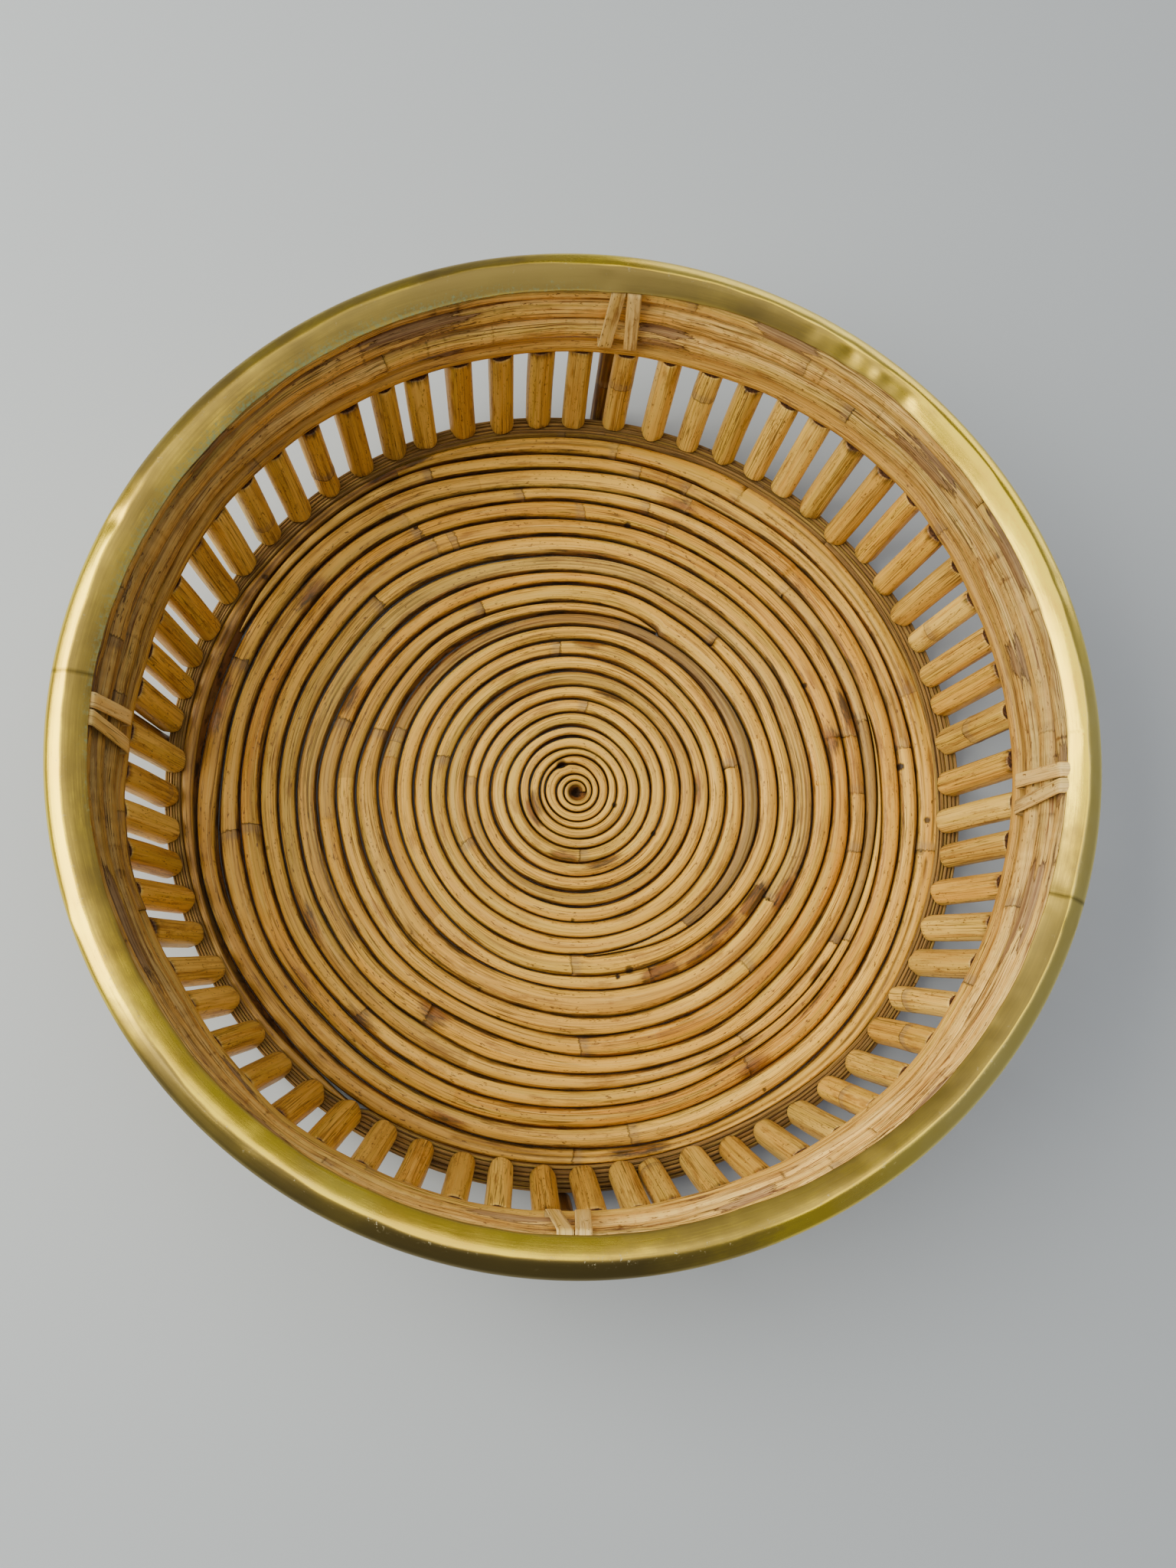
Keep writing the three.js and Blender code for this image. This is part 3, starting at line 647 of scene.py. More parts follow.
class Cane:
    """A grid rolled into a closed cane along its length, with the attributes its finish reads."""

    def __init__(self, stations, sides, seed=0.0, knots=(), girth=1.0):
        self.mesh = bmesh.new()
        self.layers = vector_layers(self.mesh, "grain", "knot", "tint", "wear")
        self.stations = stations
        self.sides = sides
        self.seed = seed
        self.knots = knots
        self.girth = girth

    def roll(self, place, tint=None, wear=None):
        """place(along, turn, index) puts each point; tint and wear give its marks."""
        last = len(self.stations) - 1
        bmesh.ops.create_grid(self.mesh, x_segments=last, y_segments=self.sides, size=0.5)
        grain, knot, tinted, worn = self.layers
        for vert in self.mesh.verts:
            index = round((vert.co.x + 0.5) * last)
            along = self.stations[index]
            row = round((vert.co.y + 0.5) * self.sides)
            turn = (row % self.sides) / self.sides * TAU
            around = self.girth * Vector((0.0, math.cos(turn), math.sin(turn)))
            offset = Vector((along + self.seed * 131.7, self.seed * 17.3, self.seed * 5.9))
            vert[grain] = offset + around
            vert[knot] = knot_reading(along, self.knots)
            vert[tinted] = tint(along, turn, index) if tint else (0.0, 0.5, 0.0)
            vert[worn] = wear(along, turn, index) if wear else (0.0, 0.0, 0.0)
            vert.co = place(along, turn, index)
        bmesh.ops.remove_doubles(self.mesh, verts=self.mesh.verts, dist=1e-5)
        return self

    def close_ends(self, inset=0.5, cut=True):
        """Close both open ends with a flat sawn face."""
        worn = self.layers[3]
        edges = [edge for edge in self.mesh.edges if edge.is_boundary]
        made = bmesh.ops.holes_fill(self.mesh, edges=edges, sides=0)
        ends = made["faces"]
        bmesh.ops.inset_individual(self.mesh, faces=ends, thickness=inset)
        for face in ends:
            face.smooth = False
            for vert in face.verts:
                vert[worn] = (1.0 if cut else 0.0, vert[worn][1], vert[worn][2])
        return self

    def finished(self):
        for face in self.mesh.faces:
            if len(face.verts) == 4:
                face.smooth = True
        bmesh.ops.recalc_face_normals(self.mesh, faces=self.mesh.faces)
        return self.mesh


def new_object(name, data):
    made = bpy.data.objects.new(name, data)
    bpy.context.collection.objects.link(made)
    return made


def add_piece(name, body, finish, nodes, smooth=False):
    """Make a finished mesh (in mm) a piece that rides on the basket and stands for its nodes."""
    bmesh.ops.transform(body, matrix=Matrix.Scale(MM, 4), verts=body.verts)
    mesh = bpy.data.meshes.new(name)
    if smooth:
        for face in body.faces:
            face.smooth = True
    body.to_mesh(mesh)
    body.free()
    mesh.materials.append(finish)
    piece = new_object(name, mesh)
    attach(piece, "root")
    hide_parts(*nodes)


def on_ring(radius, degrees, height):
    turn = math.radians(degrees)
    return Vector((radius * math.cos(turn), radius * math.sin(turn), height))


def rim_pull(degrees):
    """How far the rim stands out of round, in mm."""
    return 0.9 * math.cos(2.0 * math.radians(degrees - 31.0))


def round_ring(table, degrees):
    """A smooth value between the rows (degrees, value) of a table that goes round the basket."""
    degrees %= 360.0
    rows = [(table[-1][0] - 360.0, table[-1][1]), *table, (table[0][0] + 360.0, table[0][1])]
    index = bisect.bisect_right(rows, (degrees, math.inf)) - 1
    (before, first), (after, second) = rows[index], rows[index + 1]
    return first + (second - first) * eased((degrees - before) / (after - before))


def stack_bend(degrees, height):
    """How far in the rim's canes stand to meet the pole, in mm: most at the stack's foot."""
    return round_ring(POLE_BENDS, degrees) * (0.1 + 0.9 * unit((95.0 - height) / 28.0))


# Sizes and colours


class BasketSizes(bpy.types.PropertyGroup):
    spindle_diameter: bpy.props.FloatProperty(
        name="Spindle diameter", description="Thickness of the upright canes",
        default=0.0105, unit="LENGTH")
    hoop_strips: bpy.props.IntProperty(
        name="Hoop strips", description="Thin strips on edge in the base hoop", default=6)
    strip_thickness: bpy.props.FloatProperty(
        name="Tie thickness", description="Thickness of the strips tied round the rim",
        default=0.0008, unit="LENGTH")
    coil_gap: bpy.props.FloatProperty(
        name="Coil gap", description="Usual crack between two turns of the floor coil",
        default=0.00042, unit="LENGTH")


class BasketColours(bpy.types.PropertyGroup):
    straw: bpy.props.FloatVectorProperty(
        name="Straw", description="The palest cane", subtype="COLOR", default=(0.92, 0.56, 0.09))
    honey: bpy.props.FloatVectorProperty(
        name="Honey", description="The warmest cane", subtype="COLOR", default=(0.70, 0.31, 0.022))
    bark: bpy.props.FloatVectorProperty(
        name="Bark", description="Dark strips of the base hoop", subtype="COLOR",
        default=(0.25, 0.12, 0.035))


def sizes():
    return bpy.context.scene.basket_sizes


def colours():
    return bpy.context.scene.basket_colours


def finish_of(slot):
    """One shared material for each slot, made when it is first asked for."""
    name = f"{slot}_finish"
    if name in bpy.data.materials:
        return bpy.data.materials[name]
    straw = tuple(colours().straw)
    honey = tuple(colours().honey)
    bark = tuple(colours().bark)
    if slot == "coil_cane":
        return cane_finish(name, straw, honey, (0.20, 0.078, 0.016), fibre=0.6, spots=coil_spots())
    if slot == "spindle_cane":
        return cane_finish(name, (0.84, 0.58, 0.14), (0.70, 0.40, 0.065), (0.24, 0.10, 0.02),
                           fibre=0.5, peeled=0.3, gloss=0.46, coat=0.1)
    if slot == "peeled_cane":
        return cane_finish(name, (0.87, 0.61, 0.20), (0.74, 0.44, 0.11), (0.21, 0.09, 0.022),
                           fibre=0.7, peeled=0.8, gloss=0.56, coat=0.04, flakes=0.9)
    if slot == "pole_cane":
        return cane_finish(name, (0.76, 0.48, 0.10), (0.60, 0.30, 0.045), (0.22, 0.09, 0.018),
                           fibre=0.45, peeled=0.5, gloss=0.5, coat=0.08, flakes=0.8)
    if slot == "tie_strip":
        return cane_finish(name, (0.92, 0.70, 0.30), (0.80, 0.54, 0.18), (0.40, 0.22, 0.06),
                           fibre=0.5, peeled=0.3, gloss=0.45)
    if slot == "hoop_strip":
        return cane_finish(name, (0.38, 0.225, 0.08), bark, (0.09, 0.04, 0.014), fibre=0.25,
                           peeled=0.9, gloss=0.7, coat=0.0)
    # The outer posts: near-black colours, painted shade for their place under the rim's overhang
    return cane_finish(name, (0.17, 0.075, 0.02), (0.09, 0.034, 0.008), (0.03, 0.012, 0.004),
                       fibre=0.3, gloss=0.45)


def coil_spots():
    """Middles of the coil's dark spots in mm, with their sizes and strengths."""
    spots = []
    for degrees, radius, size, force in COIL_SPOTS:
        middle = on_ring(radius, degrees, 0.0) + (1.0 - radius / COIL_EDGE) * COIL_MIDDLE
        spots.append((tuple(middle), size, force))
    return spots


# Floor coil


class Crack:
    """Radius of a crack against the angle wound, taken from rows and eased between values."""

    def __init__(self, rows, gaps):
        self.gaps = gaps
        self.angles = []
        self.radii = []
        for first, step, radii in rows:
            self.angles += [first + step * index for index in range(len(radii))]
            self.radii += radii

    def slope(self, index):
        before = max(0, index - 1)
        after = min(len(self.radii) - 1, index + 1)
        turned = self.angles[after] - self.angles[before]
        return (self.radii[after] - self.radii[before]) / turned

    def at(self, wound):
        index = bisect.bisect_right(self.angles, wound) - 1
        index = max(0, min(len(self.angles) - 2, index))
        span = self.angles[index + 1] - self.angles[index]
        share = unit((wound - self.angles[index]) / span)
        here, there = self.radii[index], self.radii[index + 1]
        bend = share * (1.0 - share) ** 2 * self.slope(index) * span
        bend -= share * share * (1.0 - share) * self.slope(index + 1) * span
        return here + (there - here) * eased(share) + bend

    def side(self, wound):
        """The crack's radius, and its extra width where it gapes."""
        extra = sum(width * (1.0 - ((wound - middle) / half) ** 2) ** 2
                    for middle, half, width in self.gaps if abs(wound - middle) < half)
        return self.at(wound), extra


class FloorCoil(bpy.types.Operator):
    """Wind the floor from one cane at its middle and three at its edge, joined end to end"""

    bl_idname = "basket.floor_coil"
    bl_label = "Floor coil"

    def execute(self, context):
        low, high = box_mm("floor_coil")
        self.floor = low.z
        self.top = high.z
        self.main = Crack(MAIN_CRACK, MAIN_GAPS)
        self.second = Crack(SECOND_CRACK, SECOND_GAPS)
        self.third = Crack(THIRD_CRACK, THIRD_GAPS)
        for name, first, last, lengths, slivers, sides, seed in COIL_CANES:
            edges = getattr(self, f"{name}_edges")
            self.wind(name, first, last, edges, lengths, slivers, sides, seed)
        return {"FINISHED"}

    def main_edges(self, wound):
        """The cracks on both sides of a cane: the radius and the extra width of each."""
        outer = self.main.side(wound + 360.0)
        if wound < SECOND_LET_IN:
            return self.main.side(wound), outer
        if wound < THIRD_LET_IN:
            return self.second.side(wound), outer
        return self.third.side(wound), outer

    def second_edges(self, wound):
        return self.main.side(wound), self.second.side(wound)

    def third_edges(self, wound):
        inner = self.second.side(wound) if wound < SECOND_END else self.main.side(wound)
        if wound > THIRD_SEAT:
            seat = self.third.at(wound - 360.0)
            drop = max(0.0, inner[0] - seat) * min(1.0, (wound - THIRD_SEAT) / 6.0)
            inner = (inner[0] - drop, inner[1] + 2.0 * drop)
        return inner, self.third.side(wound)

    def wind(self, name, first, last, edges, lengths, slivers, sides, seed):
        """Roll one cane from its first to its last angle wound."""
        lengths = [(*row, 0, 0)[:6] for row in lengths]
        starts = [row[0] for row in lengths]
        wound = [first]
        along = [0.0]
        while wound[-1] < last:
            (inner, _), (outer, _) = edges(wound[-1])
            radius = max(1.5, (inner + outer) / 2.0)
            step = 0.8 if radius < 16.0 else 2.4
            upcoming = [joint for joint in starts[1:] if joint > wound[-1] + 1e-6]
            degree = math.degrees(1.0 / radius)
            following = min(last, wound[-1] + step * degree)
            if upcoming:
                before = upcoming[0] - JOINT_HALF * degree
                after = upcoming[0] + JOINT_HALF * degree
                if wound[-1] < before - 1e-6 < following:
                    following = before
                elif wound[-1] < after - 1e-6 < following + 0.1:
                    following = after
            along.append(along[-1] + (following - wound[-1]) / degree)
            wound.append(following)
        knots = []
        for row in lengths:
            index = bisect.bisect_left(wound, row[0])
            if row[1] and 0 < index < len(wound):
                knots.append((along[index], row[1]))

        def length_at(index):
            return max(0, bisect.bisect_right(starts, wound[index]) - 1)

        def is_below(turn):
            return math.sin(turn - TAU / 4.0) < 0.1

        def fills_middle_with_shade(angle):
            """The first turn's lower half reaches the middle and is painted dark: painted shade of
            the hole above it.
            """
            return name == "main" and angle < 360.0

        def sliver_at(place_along, turn, index):
            """The sliver that a place falls in, if any, and how near it is to an edge."""
            count = next((count for low, high, count in slivers if low < wound[index] < high), 0)
            if not count:
                return None, 1.0
            share = 0.5 + 0.5 * math.sin(turn)
            sway = 0.35 * wander(place_along, 60.0, seed + 4.0)
            moved = share * count + sway * math.sin(math.pi * share)
            return math.floor(moved), abs(moved - round(moved))

        def place(place_along, turn, index):
            angle = wound[index]
            (inner, inner_gap), (outer, outer_gap) = edges(angle)
            row = length_at(index)
            draw = random.Random(row * 31 + int(seed))
            gap = self.gap_at(angle, seed) / 2.0
            ends = min(angle - first, last - angle)
            blunt = name == "main" and last - angle >= 30.0
            taper = 1.0 if blunt else min(1.0, 0.25 + ends / 9.0)
            below = is_below(turn)
            inner += gap + (0.0 if below else inner_gap / 2.0)
            if below and fills_middle_with_shade(angle):
                inner = 0.15
            outer -= gap + (0.0 if below else outer_gap / 2.0)
            half_width = max(0.22, (outer - inner) / 2.0)
            middle = (outer + inner) / 2.0
            drop = draw.uniform(0.1, 0.55) + 0.125 * (1.0 + wander(place_along, 80.0, 12.0 + seed))
            top = self.top - 0.05 - drop - (1.0 - taper) * 1.5
            half_height = (top - self.floor) / 2.0
            squareness = 3.2 if half_width < 1.6 else max(2.2, 3.2 - (half_width - 1.6) * 0.6)
            swell = 1.0 + 0.03 * knot_swell(place_along, knots, 1.6)
            across, up = squircle(turn - TAU / 4.0, half_width * taper, half_height, squareness)
            _, near = sliver_at(place_along, turn, index)
            groove = 0.75 * max(0.0, 1.0 - near / 0.28)
            up -= math.copysign(groove, up) * min(1.0, abs(up) / 1.5)
            past, here, _ = knot_reading(place_along, knots)
            slant = math.degrees(draw.uniform(-0.3, 0.3) * across * hump(past, 3.0) * here)
            height = self.floor + half_height + min(up * swell, half_height + 0.05)
            off_middle = max(0.0, 1.0 - middle / COIL_EDGE) * COIL_MIDDLE
            return off_middle + on_ring(middle + across, angle + slant / max(6.0, middle), height)

        def tint(place_along, turn, index):
            _, _, lightness, warmth, _, stain = lengths[length_at(index)]
            # Darker towards each cane's sides: stains with painted shade in the creases between
            # turns
            edge = abs(math.sin(turn)) ** 1.7
            lightness += 0.12 * wander(place_along, 45.0, seed + 20.0)
            warmth += 0.2 * wander(place_along, 70.0, seed + 24.0)
            number, _ = sliver_at(place_along, turn, index)
            if number is not None:
                draw = random.Random(number * 7 + int(seed))
                lightness += draw.uniform(-0.35, 0.35)
                warmth += draw.uniform(-0.1, 0.15)
            damp_and_crease_shade = 0.45 + 0.65 * wander(place_along, 26.0, seed + 28.0 + math.sin(turn))
            damp_and_crease_shade += 0.18 * max(0.0, 1.0 - wound[index] / 4000.0)
            for middle, half, where, force in COIL_STAINS[name]:
                off = abs(wound[index] - middle) / half
                if off < 1.0:
                    near = 1.0 - abs(math.sin(turn) - where) / 1.3
                    stain = max(stain, 0.8 * force * (1.0 - off * off) * min(1.0, 1.4 * near))
            return lightness, warmth, max(stain, edge * damp_and_crease_shade)

        def wear(place_along, turn, index):
            grey = lengths[length_at(index)][4]
            _, near = sliver_at(place_along, turn, index)
            split = max(0.0, 1.0 - near / 0.16) * 0.8
            # Darker cracks along each cane's sides: dirt with painted shade in the crevices
            # between turns
            side = max(0.0, (abs(math.sin(turn)) - 0.8) / 0.2)
            # At the middle the cane is painted dark: painted shade of the central hole
            if fills_middle_with_shade(wound[index]) and math.sin(turn) < 0.0:
                split = 1.0 if is_below(turn) else 0.5
            darkening = side * (1.0 + 0.5 * wander(place_along, 22.0, seed + 33.0 + math.sin(turn)))
            return 0.0, max(split, min(1.0, darkening)), grey

        cane = Cane(along, sides, seed=seed, knots=knots, girth=3.4)
        body = cane.roll(place, tint, wear).close_ends(0.1).finished()
        add_piece(f"floor_coil_{name}", body, finish_of("coil_cane"), ["floor_coil"],
                  smooth=True)

    def gap_at(self, angle, seed):
        """The usual gap, tighter and wider along the way."""
        from_middle = min(1.0, angle / 2400.0)
        usual = sizes().coil_gap / MM * (0.8 + 0.2 * from_middle)
        return usual + 0.3 * from_middle * max(-0.6, wander(angle, 31.0, seed + 40.0))


# Spindles


class Spindles(bpy.types.Operator):
    """Stand sixty-five short canes on the base hoop, leaning out to the rim"""

    bl_idname = "basket.spindles"
    bl_label = "Spindles"

    def execute(self, context):
        for index, angle in enumerate(SPINDLE_ANGLES):
            node = f"spindle_{index + 1:02d}"
            self.stand(index, angle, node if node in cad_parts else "base_hoop")
        return {"FINISHED"}

    def stand(self, index, angle, node):
        """Stand one cane; nineteen have no node of their own, and are part of the hoop's."""
        draw = random.Random(900 + index)
        radius = sizes().spindle_diameter / MM / 2.0 * draw.uniform(0.95, 1.02)
        length = SPINDLE_HEAD_Z - SPINDLE_FOOT_Z
        stations = [0.0, 0.25, 0.6] + [0.6 + value for value in even_steps(length - 1.2, 2.6)][1:]
        stations += [length - 0.25, length]
        bow = draw.uniform(-0.25, 0.25)
        oval = draw.uniform(0.0, 0.05)
        oval_turn = draw.uniform(0.0, TAU)
        foot_radius = SPINDLE_FEET[index] + SPINDLE_FOOT_INSET
        head_radius = SPINDLE_HEAD_RADIUS + draw.uniform(-0.4, 0.4) + rim_pull(angle)
        head_radius += 0.9 * round_ring(POLE_BENDS, angle)
        taper = draw.uniform(-0.02, 0.02)
        knots = []
        if draw.random() < 0.12:
            knots.append((draw.uniform(6.0, length - 8.0), draw.uniform(0.5, 1.0)))
        facet = draw.uniform(0.0, TAU)
        squareness = draw.uniform(2.3, 3.0)
        roll = draw.uniform(-0.25, 0.25) if draw.random() < 0.7 else draw.uniform(0.5, 0.9)
        tilt = draw.uniform(-0.25, 0.25)
        out, side = on_ring(1.0, angle, 0.0), on_ring(1.0, angle + 90.0, 0.0)

        def place(along, turn, _):
            share = along / length
            end = min(along, length - along)
            size = radius * (1.0 + taper * (share - 0.5)) - 0.3 * max(0.0, 1.0 - end / 0.6) ** 2
            size *= 1.0 + oval * math.cos(2.0 * (turn - oval_turn)) - 0.03
            size *= math.hypot(*squircle(turn - roll, 1.0, 1.0, squareness))
            size *= 1.0 + 0.012 * wander(along + 40.0 * math.cos(turn - facet), 14.0, index + 1.0)
            size *= 1.0 + 0.04 * knot_swell(along, knots, 1.3)
            lean = foot_radius + (head_radius - foot_radius) * share
            sway = bow * math.sin(math.pi * share) + tilt * (share - 0.5)
            where = on_ring(lean, angle, SPINDLE_FOOT_Z + along)
            return where + out * size * math.cos(turn) + side * (size * math.sin(turn) + sway)

        lightness = draw.uniform(-0.3, 0.3)
        warmth = draw.choice((0.05, 0.3, 0.45, 0.6, 0.8, 0.95))
        # How strongly this spindle darkens towards its ends
        darkening = draw.uniform(0.3, 1.2)

        # Darker towards the foot and the head
        def tint(along, *_):
            end_darkening = max(0.0, 1.0 - along / 5.0) * 0.35
            end_darkening += max(0.0, 1.0 - (length - along) / 6.0) * 0.45
            return lightness, warmth, end_darkening * darkening

        cane = Cane(stations, 24, seed=2.0 + index, knots=knots, girth=radius)
        body = cane.roll(place, tint).close_ends(0.6).finished()
        add_piece(f"cane_spindle_{index + 1:02d}", body, finish_of("spindle_cane"),
                  [node])


# Rings of cane and strip


def ring_degrees(start, along):
    """The angle that a place along a ring of cane stands at."""
    return start + math.degrees(along / RING_RADIUS)


def ring_of_cane(name, node, section, slot, seed, start, sides=16, step=1.8, spacing=300.0,
                 tint=None, wear=None):
    """Bend one cane into a full ring whose two ends meet at the start angle."""
    draw = random.Random(int(seed * 77))
    length = TAU * RING_RADIUS
    knots = []
    place_of_knot = draw.uniform(20.0, spacing)
    while place_of_knot < length - 20.0:
        knots.append((place_of_knot, draw.uniform(0.5, 1.0)))
        place_of_knot += draw.uniform(0.6, 1.4) * spacing

    def place(along, turn, _):
        share = RING_GAP / length + along / length * (1.0 - 2.0 * RING_GAP / length)
        degrees = start + 360.0 * share
        radius, height = section(along, turn, degrees, knots)
        if height > 30.0:
            radius += rim_pull(degrees)
        return on_ring(radius, degrees, height)

    cane = Cane(even_steps(length, step), sides, seed=seed, knots=knots, girth=5.0)
    body = cane.roll(place, tint, wear).close_ends(0.25).finished()
    add_piece(name, body, finish_of(slot), [node])


class BaseHoop(bpy.types.Operator):
    """Nail thin strips on edge into the hoop that the basket stands on"""

    bl_idname = "basket.base_hoop"
    bl_label = "Base hoop"

    def execute(self, context):
        for index in range(sizes().hoop_strips):
            self.lay(index, sizes().hoop_strips)
        return {"FINISHED"}

    def lay(self, index, count):
        draw = random.Random(300 + index)
        drop = draw.uniform(0.0, 0.5)
        lightness = draw.uniform(-0.25, 0.25)
        warmth = draw.uniform(0.1, 0.7)

        def section(along, turn, degrees, _):
            top = 7.95 - drop - 0.175 * (1.0 + wander(along, 70.0, 60.0 + index))
            half_height = top / 2.0
            inner = round_ring(HOOP_INNER, degrees) - 0.8
            pitch = (round_ring(HOOP_OUTER, degrees) - inner) / count
            across, up = squircle(turn - TAU / 4.0, pitch / 2.0 - 0.05, half_height, 5.0)
            return inner + pitch * (index + 0.5) + across, half_height + up

        def tint(along, _, station):
            # The station in the seed makes the tone jump from one to the next
            dark = 0.5 + 0.5 * wander(along, 120.0, 71.0 + station)
            return lightness - 0.2 * dark, warmth, 0.25 * dark

        ring_of_cane(f"hoop_strip_{index + 1}", "base_hoop", section, "hoop_strip", 30.0 + index,
                     44.0 + 57.0 * index, sides=12, step=2.4, spacing=420.0, tint=tint)


class InnerPole(bpy.types.Operator):
    """Lay the thin round cane on the spindles' heads"""

    bl_idname = "basket.inner_pole"
    bl_label = "Inner pole"

    def execute(self, context):
        low, high = box_mm("rim_inner_pole")
        half = (high.z - low.z) / 2.0
        middle_z = (high.z + low.z) / 2.0
        outer = high.x
        start = 202.0

        def section(along, turn, degrees, knots):
            swell = 1.0 + 0.04 * knot_swell(along, knots, 1.6)
            size = half * (0.955 + 0.03 * wander(along, 45.0, 80.0)) * swell
            across, up = squircle(turn, size, size, 2.1)
            bend = round_ring(POLE_BENDS, degrees) + 0.25 * wander(along, 16.0, 83.0)
            return outer - half + across + bend, middle_z + up

        def tint(along, *_):
            # The pole's lightness by side: partly its own tone, partly painted light and shade
            lightness = 0.6 * round_ring(RIM_PALENESS_AND_LIGHT, ring_degrees(start, along))
            lightness += 0.25 * wander(along, 60.0, 84.0)
            warmth = 0.5 + 0.4 * wander(along, 120.0, 86.0)
            return lightness, warmth, 0.5 * max(0.0, wander(along, 30.0, 88.0) - 0.2)

        def wear(along, *_):
            return 0.0, 0.0, 1.3 * max(0.0, wander(along, 24.0, 89.0) - 0.15)

        ring_of_cane("inner_pole_cane", "rim_inner_pole", section, "pole_cane", 40.0, start,
                     sides=18, spacing=230.0, tint=tint, wear=wear)
        return {"FINISHED"}


class RimCanes(bpy.types.Operator):
    """Stack three peeled canes under the brass cap"""

    bl_idname = "basket.rim_canes"
    bl_label = "Rim canes"

    def execute(self, context):
        for index, (node, start) in enumerate(RIM_CANES):
            self.bend(index, node, start)
        return {"FINISHED"}

    def bend(self, index, node, start):
        low, high = box_mm(node)
        middle = high.x - RIM_CANE_HALF_WIDTH
        half_height = (high.z - low.z) / 2.0
        middle_z = (high.z + low.z) / 2.0
        is_top = index == len(RIM_CANES) - 1

        def section(along, turn, degrees, knots):
            fat = 0.975 + 0.018 * wander(along, 40.0, 90.0 + index)
            fat += 0.02 * knot_swell(along, knots, 2.2)
            half_width = RIM_CANE_HALF_WIDTH * min(1.0, fat)
            across, up = squircle(turn, half_width, half_height * 0.985, 2.8)
            inside = max(0.0, -across / RIM_CANE_HALF_WIDTH)
            lean = 0.7 * wander(along, 30.0, 95.0 + index) + 0.3 * wander(along, 9.0, 98.0 + index)
            lean += stack_bend(degrees, middle_z) - 0.3
            radius = middle + across + min(0.7, lean) * inside
            height = middle_z + up
            if is_top:
                inward = max(0.0, RIDGE_RADIUS - radius)
                outward = max(0.0, radius - RIDGE_RADIUS)
                height = min(height, RIDGE_Z - 0.648 * inward - 0.40 * outward)
            return radius, height

        def tint(along, _, station):
            # Lightness by side: partly the cane's own tone, partly painted light and shade
            lightness = round_ring(RIM_PALENESS_AND_LIGHT, ring_degrees(start, along))
            lightness += 0.3 * wander(along, 75.0, 100.0 + station)
            warmth = 0.4 + 0.5 * wander(along, 70.0, 104.0 + station)
            warmth += 0.4 * wander(along, 22.0, 106.0)
            stain = max(0.0, wander(along, 40.0, 108.0 + station) - 0.25) * 1.1
            return lightness, warmth, stain

        def wear(along, turn, _):
            left = 0.8 * max(0.0, wander(along, 26.0, 111.0 + index) - 0.15)
            for bark_angle, half, number, force in BARK:
                if number == index:
                    off = arc_between(ring_degrees(start, along), bark_angle, RING_RADIUS)
                    left = max(left, force * max(0.0, 1.0 - (off / half / 2.0) ** 2))
            seat = max(0.0, abs(math.sin(turn)) - 0.86) / 0.14
            return 0.0, 0.7 * seat * (0.6 + 0.5 * wander(along, 18.0, 114.0 + index)), left

        ring_of_cane(f"peeled_{node}", node, section, "peeled_cane", 50.0 + index, start, sides=24,
                     spacing=260.0, tint=tint, wear=wear)


class CaneTies(bpy.types.Operator):
    """Wind a flat strip twice round the rim at four places"""

    bl_idname = "basket.cane_ties"
    bl_label = "Cane ties"

    def execute(self, context):
        for side, angle in TIES:
            body = None
            for sign in (-1.0, 1.0):
                body = self.wind(body, angle, sign)
            add_piece(f"tie_strip_{side}", body, finish_of("tie_strip"),
                      [f"cane_tie_{side}"])
        return {"FINISHED"}

    def stack_path(self, thick):
        """Corners of the strip's middle line round the stack: radius and height."""
        inner = TIE_INNER + thick
        outer = TIE_OUTER - thick
        foot = TIE_FOOT + thick
        return [(171.0, foot), (inner + 0.6, foot), (inner, foot + 0.8), (inner, 78.0),
                (inner, 94.5), (inner + 0.6, 95.2), (RIDGE_RADIUS, 98.85 - thick),
                (outer - 0.8, 96.6), (outer, 95.4), (outer, 78.0), (outer, foot + 0.8),
                (outer - 0.6, foot), (171.2, foot)]

    def wind(self, body, angle, sign):
        """Wind one strip round the stack, beside the tie's middle, and join it to the body."""
        thick = sizes().strip_thickness / MM / 2.0
        path = [Vector((radius, 0.0, height)) for radius, height in self.stack_path(thick)]
        lengths = [0.0]
        for first, second in zip(path, path[1:]):
            lengths.append(lengths[-1] + (second - first).length)
        every = sorted(set(even_steps(lengths[-1], 1.6) + lengths))
        stations = [value for value, after in zip(every, every[1:] + [1e9]) if after - value > 0.3]

        def on_path(along):
            """A place along the path, and the path's direction there."""
            index = max(0, min(len(path) - 2, sum(1 for value in lengths[1:] if value < along)))
            corner, following = path[index], path[index + 1]
            share = (along - lengths[index]) / (lengths[index + 1] - lengths[index])
            return corner.lerp(following, share), (following - corner).normalized()

        def place(along, turn, _):
            here, toward = on_path(along)
            out = Vector((-toward.z, 0.0, toward.x))
            half = 2.8 + 0.12 * wander(along, 14.0, 120.0 + angle + sign)
            across, up = squircle(turn, half, thick * 0.95, 3.5)
            sideways = across + sign * (2.75 + 2.5 * unit((98.0 - here.z) / 35.5))
            spot = here + out * (up - 0.09 * (across / half) ** 2)
            degrees = angle + math.degrees(sideways / TIE_RADIUS)
            reach = spot.x + rim_pull(degrees)
            if spot.x < 172.0:
                reach += min(0.2, stack_bend(angle, spot.z)) - 0.5
            return on_ring(reach, degrees, spot.z)

        def tint(along, *_):
            return 0.15 * wander(along, 20.0, 130.0 + angle), 0.25, 0.0

        cane = Cane(stations, 16, seed=60.0 + angle * 0.1 + sign, girth=2.0)
        strip = cane.roll(place, tint).close_ends(0.15, cut=False).finished()
        if body is None:
            return strip
        mesh = bpy.data.meshes.new("strip")
        strip.to_mesh(mesh)
        strip.free()
        body.from_mesh(mesh)
        bpy.data.meshes.remove(mesh)
        return body


